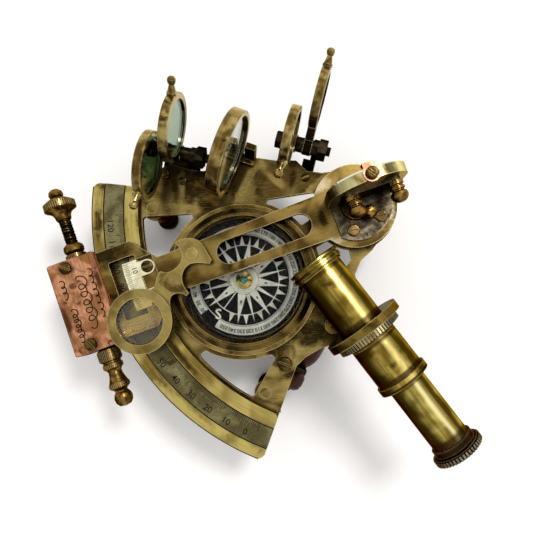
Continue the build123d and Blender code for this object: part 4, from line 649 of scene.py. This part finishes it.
# ------------------------------------------------------------ pieces that repeat, by node trees
class Pattern:
    """A geometry tree in the making, with named inputs."""

    def __init__(self, name, **inputs):
        self.tree = bpy.data.node_groups.new(name, "GeometryNodeTree")
        sockets = self.tree.interface
        sockets.new_socket("Geometry", in_out="OUTPUT", socket_type="NodeSocketGeometry")
        for label, value in inputs.items():
            kind = "NodeSocketInt" if isinstance(value, int) else "NodeSocketFloat"
            socket = sockets.new_socket(label, in_out="INPUT", socket_type=kind)
            socket.default_value = value
        sockets.new_socket("Finish", in_out="INPUT", socket_type="NodeSocketMaterial")
        self.given = self.tree.nodes.new("NodeGroupInput").outputs

    def add(self, kind, *values, **settings):
        """One node: values go to its live inputs in order, None leaves one as it is."""
        made = self.tree.nodes.new(kind)
        for name, value in settings.items():
            setattr(made, name, value)
        for socket, value in zip([s for s in made.inputs if s.enabled], values):
            if isinstance(value, bpy.types.NodeSocket):
                self.tree.links.new(value, socket)
            elif value is not None:
                socket.default_value = value
        return made.outputs

    def math(self, operation, *values):
        return self.add("ShaderNodeMath", *values, operation=operation)[0]

    def named(self, kind, **values):
        """One node whose inputs are given by name."""
        made = self.tree.nodes.new(kind)
        for name, value in values.items():
            socket = made.inputs[name.replace("_", " ")]
            if isinstance(value, bpy.types.NodeSocket):
                self.tree.links.new(value, socket)
            else:
                socket.default_value = value
        return made.outputs

    def turns(self):
        """The number of each piece on the circle, and its angle."""
        index = self.add("GeometryNodeInputIndex")[0]
        steps = self.math("MULTIPLY", index, self.given["Step"])
        return index, self.math("RADIANS", self.math("ADD", self.given["Start"], steps))

    def set_round(self, shape, angle, reach, *size):
        """Copies of a shape on a circle, each turned to face out and drawn to its size."""
        points = self.add("GeometryNodePoints", self.given["Count"])[0]
        x = self.math("MULTIPLY", reach, self.math("COSINE", angle))
        y = self.math("MULTIPLY", reach, self.math("SINE", angle))
        spot = self.add("ShaderNodeCombineXYZ", x, y, 0.0)[0]
        spread = self.add("GeometryNodeSetPosition", points, True, spot)[0]
        turn = self.add("ShaderNodeCombineXYZ", 0.0, 0.0, angle)[0]
        scale = self.add("ShaderNodeCombineXYZ", *size)[0]
        placed = self.named("GeometryNodeInstanceOnPoints", Points=spread, Instance=shape,
                            Rotation=turn, Scale=scale)
        return self.finish(placed[0])

    def finish(self, geometry):
        """Makes the copies real and gives them their finish."""
        real = self.add("GeometryNodeRealizeInstances", geometry)[0]
        done = self.add("GeometryNodeSetMaterial", real, None, self.given["Finish"])[0]
        end = self.tree.nodes.new("NodeGroupOutput")
        self.tree.links.new(done, end.inputs[0])
        return self.tree


def bars_round():
    """Bars on an arc, every fifth and tenth longer: division lines, ribs and milled edges."""
    p = Pattern("bars_round", Count=10, Start=0.0, Step=10.0, Inner=10.0, Short=1.0, Middle=1.0,
                Long=1.0, Width=0.2, Height=0.1)
    g = p.given
    index, angle = p.turns()
    fifth = p.math("LESS_THAN", p.math("MODULO", index, 5.0), 0.5)
    tenth = p.math("LESS_THAN", p.math("MODULO", index, 10.0), 0.5)
    middle = p.math("MULTIPLY", fifth, p.math("SUBTRACT", g["Middle"], g["Short"]))
    long = p.math("MULTIPLY", tenth, p.math("SUBTRACT", g["Long"], g["Middle"]))
    length = p.math("ADD", g["Short"], p.math("ADD", middle, long))
    reach = p.math("ADD", g["Inner"], p.math("MULTIPLY", length, 0.5))
    bar = p.add("GeometryNodeMeshCube", (1, 1, 1))[0]
    return p.set_round(bar, angle, reach, length, g["Width"], g["Height"])


def rays_round():
    """Pointed rays on a circle, base inward."""
    p = Pattern("rays_round", Count=8, Start=0.0, Step=45.0, Inner=5.0, Length=8.0, Width=1.0,
                Height=0.05)
    g = p.given
    angle = p.turns()[1]
    reach = p.math("ADD", g["Inner"], p.math("MULTIPLY", g["Length"], 1.0 / 3.0))
    ray = p.named("GeometryNodeMeshCylinder", Vertices=3, Radius=1.0, Depth=1.0)["Mesh"]
    return p.set_round(ray, angle, reach, p.math("DIVIDE", g["Length"], 1.5),
                       p.math("DIVIDE", g["Width"], 3.0 ** 0.5), g["Height"])


def thread_round():
    """One continuous thread wound on a rod."""
    p = Pattern("thread_round", Turns=10.0, Radius=1.7, Height=8.0, Depth=0.3)
    g = p.given
    spiral = p.named("GeometryNodeCurveSpiral", Resolution=18, Rotations=g["Turns"],
                     Start_Radius=g["Radius"], End_Radius=g["Radius"], Height=g["Height"])
    crest = p.named("GeometryNodeCurvePrimitiveCircle", Resolution=4, Radius=g["Depth"])
    wound = p.named("GeometryNodeCurveToMesh", Curve=spiral[0], Profile_Curve=crest[0],
                    Fill_Caps=True)
    return p.finish(wound[0])


def settle(mesh, name, place, body, look):
    """A finished mesh becomes a piece of the object on its body."""
    work = bmesh.new()
    work.from_mesh(mesh)
    bmesh.ops.remove_doubles(work, verts=work.verts, dist=0.0005)
    bmesh.ops.recalc_face_normals(work, faces=work.faces)
    work.to_mesh(mesh)
    work.free()
    mesh.transform(MM @ place)
    mesh.name = name
    piece = bpy.data.objects.new(name, mesh)
    bpy.context.scene.collection.objects.link(piece)
    mesh.materials.clear()
    mesh.materials.append(looks[look])
    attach(piece, body)
    return piece


def grow(name, tree, place, body, slot, look, **values):
    """Runs a node tree once and keeps the result as one plain mesh."""
    holder = bpy.data.objects.new(name + "_start", bpy.data.meshes.new(name + "_start"))
    bpy.context.scene.collection.objects.link(holder)
    modifier = holder.modifiers.new("pattern", "NODES")
    modifier.node_group = tree
    values["Finish"] = looks[look]
    for item in tree.interface.items_tree:
        if item.in_out == "INPUT" and item.name in values:
            modifier[item.identifier] = values[item.name]
    now = bpy.context.evaluated_depsgraph_get()
    mesh = bpy.data.meshes.new_from_object(holder.evaluated_get(now))
    bpy.data.objects.remove(holder)
    return settle(mesh, name, place, body, look)


def ribs(name, place, at, height, radius, count, body, slot, look, depth=0.22):
    """A milled band round a turned piece."""
    width = 0.55 * tau * radius / count
    long = milling_root + depth
    return grow(name, bars, place @ Matrix.Translation((0, 0, at)), body, slot, look, Count=count,
                Step=360.0 / count, Inner=radius - milling_root, Short=long, Middle=long,
                Long=long, Width=width, Height=height)


def strip_along(points, width, low, high, closed=False):
    """Corners and faces of a flat strip with that width along a path."""
    corners, faces = [], []
    last = len(points) - 1
    for step, point in enumerate(points):
        back = points[step - 1] if step or closed else point
        ahead = points[(step + 1) % len(points)] if step < last or closed else point
        side = (Vector(ahead) - Vector(back)).normalized().orthogonal() * width / 2
        left, right = Vector(point) + side, Vector(point) - side
        corners += [(*left, low), (*right, low), (*right, high), (*left, high)]
    for step in range(len(points) if closed else last):
        here, there = 4 * step, 4 * ((step + 1) % len(points))
        for side in range(4):
            other = (side + 1) % 4
            faces.append((here + side, here + other, there + other, there + side))
    if not closed:
        faces += [(3, 2, 1, 0), tuple(4 * last + side for side in range(4))]
    return corners, faces


def draw(name, strips, place, body, slot, look):
    """Several flat strips as one piece."""
    corners, faces = [], []
    for points, edges in strips:
        faces += [tuple(len(corners) + corner for corner in face) for face in edges]
        corners += points
    mesh = bpy.data.meshes.new(name)
    mesh.from_pydata(corners, [], faces)
    return settle(mesh, name, place, body, look)


def arc(radius, start, end, width, low, high, steps=90):
    """A strip on part of a circle."""
    angles = [start + (end - start) * step / steps for step in range(steps + 1)]
    return strip_along([heading(angle, radius).xy for angle in angles], width, low, high)


def circle(radius, width, low, high, steps=120):
    """A strip on a whole circle."""
    points = [heading(360.0 * step / steps, radius).xy for step in range(steps)]
    return strip_along(points, width, low, high, closed=True)


def sign_at(az, reach, turn, z=0.0):
    """The place of a figure on a circle, turned about the vertical."""
    return Matrix.Translation(heading(az, reach, z)) @ Matrix.Rotation(radians(turn), 4, "Z")


def lettering(name, signs, size, depth, place, body, slot, look, bold=0.02):
    """Plain figures, each at its own place, as one piece."""
    whole = bmesh.new()
    for sign, where in signs:
        curve = bpy.data.curves.new(name, "FONT")
        curve.body, curve.size, curve.extrude, curve.resolution_u = sign, size, depth, 2
        curve.align_x, curve.align_y, curve.offset = "CENTER", "CENTER", bold
        holder = bpy.data.objects.new(name, curve)
        mesh = bpy.data.meshes.new_from_object(holder)
        mesh.transform(where)
        whole.from_mesh(mesh)
        bpy.data.objects.remove(holder)
        bpy.data.meshes.remove(mesh)
    mesh = bpy.data.meshes.new(name)
    whole.to_mesh(mesh)
    whole.free()
    return settle(mesh, name, place, body, look)


bars, rays, thread = bars_round(), rays_round(), thread_round()

# ------------------------------------------------------------ divisions and figures of the limb
limb_place = level(0, 0, limb_top)
engraved = ("frame", "silvered_strip", "mark")
grow("limb_divisions", bars, limb_place, *engraved, Count=units + 2 * spare_units + 1,
     Start=zero_az + spare_units * unit_az, Step=-unit_az, Inner=scale_inner + 0.1, Short=1.5,
     Middle=2.1, Long=2.7, Width=0.2, Height=2 * print_depth)
lines = [arc(radius, limb_start + 0.1, limb_end - 0.1, 0.42, -0.3, 0.03)
         for radius in (scale_inner - 0.15, scale_outer + 0.15)]
lines += [arc(radius, limb_start + 1.0, limb_end - 1.0, 0.3, -0.3, 0.03)
          for radius in (limb_inner + 0.15, limb_outer - 0.13)]
draw("limb_lines", lines, limb_place, *engraved)
figures = []
for value in range(0, units + 1, 10):
    az = zero_az - value * unit_az
    figures.append((str(value), sign_at(az, figure_reach, az + 90)))
lettering("limb_figures", figures, figure_size, print_depth, limb_place, *engraved)

vernier_place = level(0, 0, vernier_top)
engraved = ("arm", "silvered_strip", "mark")
grow("vernier_divisions", bars, vernier_place, *engraved, Count=25, Start=vernier_start,
     Step=vernier_step, Inner=vernier_inner, Short=1.3, Middle=1.6, Long=1.9, Width=0.13,
     Height=2 * print_depth)
marks = [(value, sign_at(az, vernier_figure_reach, az + 90))
         for value, az in (("10", 254.2), ("0", 261.0))]
lettering("vernier_figures", marks, vernier_figure_size, print_depth, vernier_place, *engraved)

# ------------------------------------------------------------ milled bands and the thread
ribs("nut_milling", scope_place, nut_at + nut_length / 2, nut_length - 0.5, nut_radius, 64,
     "frame", "worn_brass", "nut_ribs", 0.3)
ribs("eyepiece_milling", scope_place, rim_at + rim_length / 2, rim_length - 0.3, rim_radius, 46,
     "eyepiece", "worn_brass", "rim_ribs", 0.5)
# name, middle along the screw, width, radius, number of ribs
tangent_bands = (
    ("wheel", -35.45, 2.2, 5.2, 44), ("foot_ring", -16.9, 1.4, 3.3, 34),
    ("tail_collar", 18.6, 3.2, 3.7, 40), ("tail_ring", 22.4, 1.2, 3.2, 34),
    ("tail_band", 29.15, 1.3, 3.3, 34),
)
for name, *band in tangent_bands:
    ribs("tangent_" + name, tangent_place, *band, "tangent", "worn_brass", "ribs")
thread_place = tangent_place @ Matrix.Translation((0, 0, thread_start))
grow("tangent_thread", thread, thread_place, "tangent", "blackened_steel", "steel",
     Turns=thread_turns, Radius=rod_radius, Height=thread_end - thread_start, Depth=thread_depth)

# ------------------------------------------------------------ compass card
card = (level(compass_x, compass_y, card_top), "card", "printed_card")
grow("card_points", rays, *card, "print", Count=8, Start=north_az, Step=45.0, Inner=point_base,
     Length=point_length, Width=2.9, Height=0.10)
grow("card_rays", rays, *card, "print", Count=7, Start=north_az + 337.5, Step=45.0,
     Inner=ray_base, Length=ray_length, Width=1.3, Height=0.11)
grow("card_teeth", rays, *card, "print", Count=15, Start=north_az + 303.75, Step=22.5,
     Inner=tooth_base, Length=tooth_length, Width=1.9, Height=0.12)
grow("card_marks", bars, *card, "card", Count=8, Start=north_az, Step=45.0, Inner=7.2, Short=1.0,
     Middle=1.0, Long=1.0, Width=0.5, Height=0.16)
hairline = [heading(295.0, 4.9).xy, heading(293.0, 12.4).xy]
rings = [circle(12.2, 0.28, -0.05, 0.07), circle(15.9, 0.22, -0.05, 0.05),
         arc(card_band, 296.0, 637.0, card_band_width, -0.05, 0.05, 120),
         strip_along(hairline, 0.3, -0.05, 0.06)]
draw("card_rings", rings, *card, "print")
figures = []
for tens in range(36):
    az = 295.0 - 10.0 * tens
    if abs((az - 286.5 + 180.0) % 360.0 - 180.0) > 11.0:
        figures.append((str(10 * tens), sign_at(az, card_band + 0.1, az - 90, 0.06)))
lettering("card_figures", figures, 1.9, 0.04, *card, "mark", 0.05)
south = [("S", sign_at(letter_az, letter_reach, 58, 0.06))]
lettering("card_letter", south, letter_size, 0.05, *card, "print", 0.09)

# ------------------------------------------------------------ engraved scrolls on the clamp block
# row along the arm, size and number of loops, start and end across the arm
rows = ((94.2, 1.9, 6, -8.5, 8.0), (99.6, 1.1, 6, 1.0, 11.5), (90.4, 0.8, 7, -10.5, 6.0),
        (100.4, 0.9, 3, -9.5, -3.5))
steps_in_loop = 16
scrolls = []
for row, reach, loops, start, end in rows:
    path = []
    steps = steps_in_loop * loops
    for step in range(steps + 1):
        share = step / steps
        turn = tau * loops * share
        u = row + reach * cos(turn) * (0.75 + 0.25 * sin(3.0 * turn / loops))
        v = start + (end - start) * share - 0.8 * reach * sin(turn)
        path.append(on_arm(u, v, 0).xy)
    scrolls.append(strip_along(path, 0.36, -0.1, print_depth))
draw("block_scrolls", scrolls, level(0, 0, block_top), "arm", "copper", "mark")

# ------------------------------------------------------------ floor, light, camera
bpy.ops.mesh.primitive_plane_add(size=6)
floor = bpy.context.object
floor.name = "floor"
floor.location = (0, 0, -0.00002)
cloth = bpy.data.materials.new("white_floor")
cloth.use_nodes = True
shader = cloth.node_tree.nodes["Principled BSDF"].inputs
shader["Base Color"].default_value = (0.95, 0.925, 0.90, 1)
shader["Roughness"].default_value = 0.9
shader["Specular IOR Level"].default_value = 0.0
floor.data.materials.append(cloth)

sky_light = 0.86
world = bpy.data.worlds.new("studio")
bpy.context.scene.world = world
world.use_nodes = True
sky = world.node_tree
path = sky.nodes.new("ShaderNodeLightPath").outputs
seen = path["Is Camera Ray"]
for kind in ("Is Glossy Ray", "Is Transmission Ray"):
    either = sky.nodes.new("ShaderNodeMath")
    either.operation = "MAXIMUM"
    sky.links.new(seen, either.inputs[0])
    sky.links.new(path[kind], either.inputs[1])
    seen = either.outputs[0]
strength = sky.nodes.new("ShaderNodeMapRange")
strength.inputs["To Min"].default_value = sky_light
strength.inputs["To Max"].default_value = 1.0
sky.links.new(seen, strength.inputs["Value"])
sky.links.new(strength.outputs[0], sky.nodes["Background"].inputs["Strength"])
sky.nodes["Background"].inputs["Color"].default_value = (1, 1, 1, 1)


middle = Vector((0, -0.045, 0.03))


def lamp(name, az, rise, distance, size, power):
    """A square soft lamp that looks at the middle of the object."""
    light = bpy.data.lights.new(name, "AREA")
    light.size = size
    light.energy = power
    thing = bpy.data.objects.new(name, light)
    bpy.context.scene.collection.objects.link(thing)
    way = heading(az, cos(radians(rise)), sin(radians(rise)))
    thing.matrix_world = along(middle + way * distance, way)


lamp("key", 108, 58, 1.6, 0.36, 12.0)

eye_at = Vector((17.40, -35.36, 202.44))
eye_turn = radians(58)
eye_tilt = Vector((0.0605053, 0.0337688, 0))
eye_reach, frame_width = 520.0, 550.0
eye = bpy.data.cameras.new("eye")
eye.sensor_width = 36.0
eye.lens = eye.sensor_width * eye_reach / frame_width
eye.clip_start, eye.clip_end = 0.01, 20
camera = bpy.data.objects.new("eye", eye)
bpy.context.scene.collection.objects.link(camera)
turned = Matrix.Rotation(eye_turn, 4, "Z")
tilted = Matrix.Rotation(eye_tilt.length, 4, eye_tilt.normalized())
camera.matrix_world = Matrix.Translation(MM @ eye_at) @ turned @ tilted
bpy.context.scene.camera = camera
bpy.context.scene.view_settings.view_transform = "Standard"
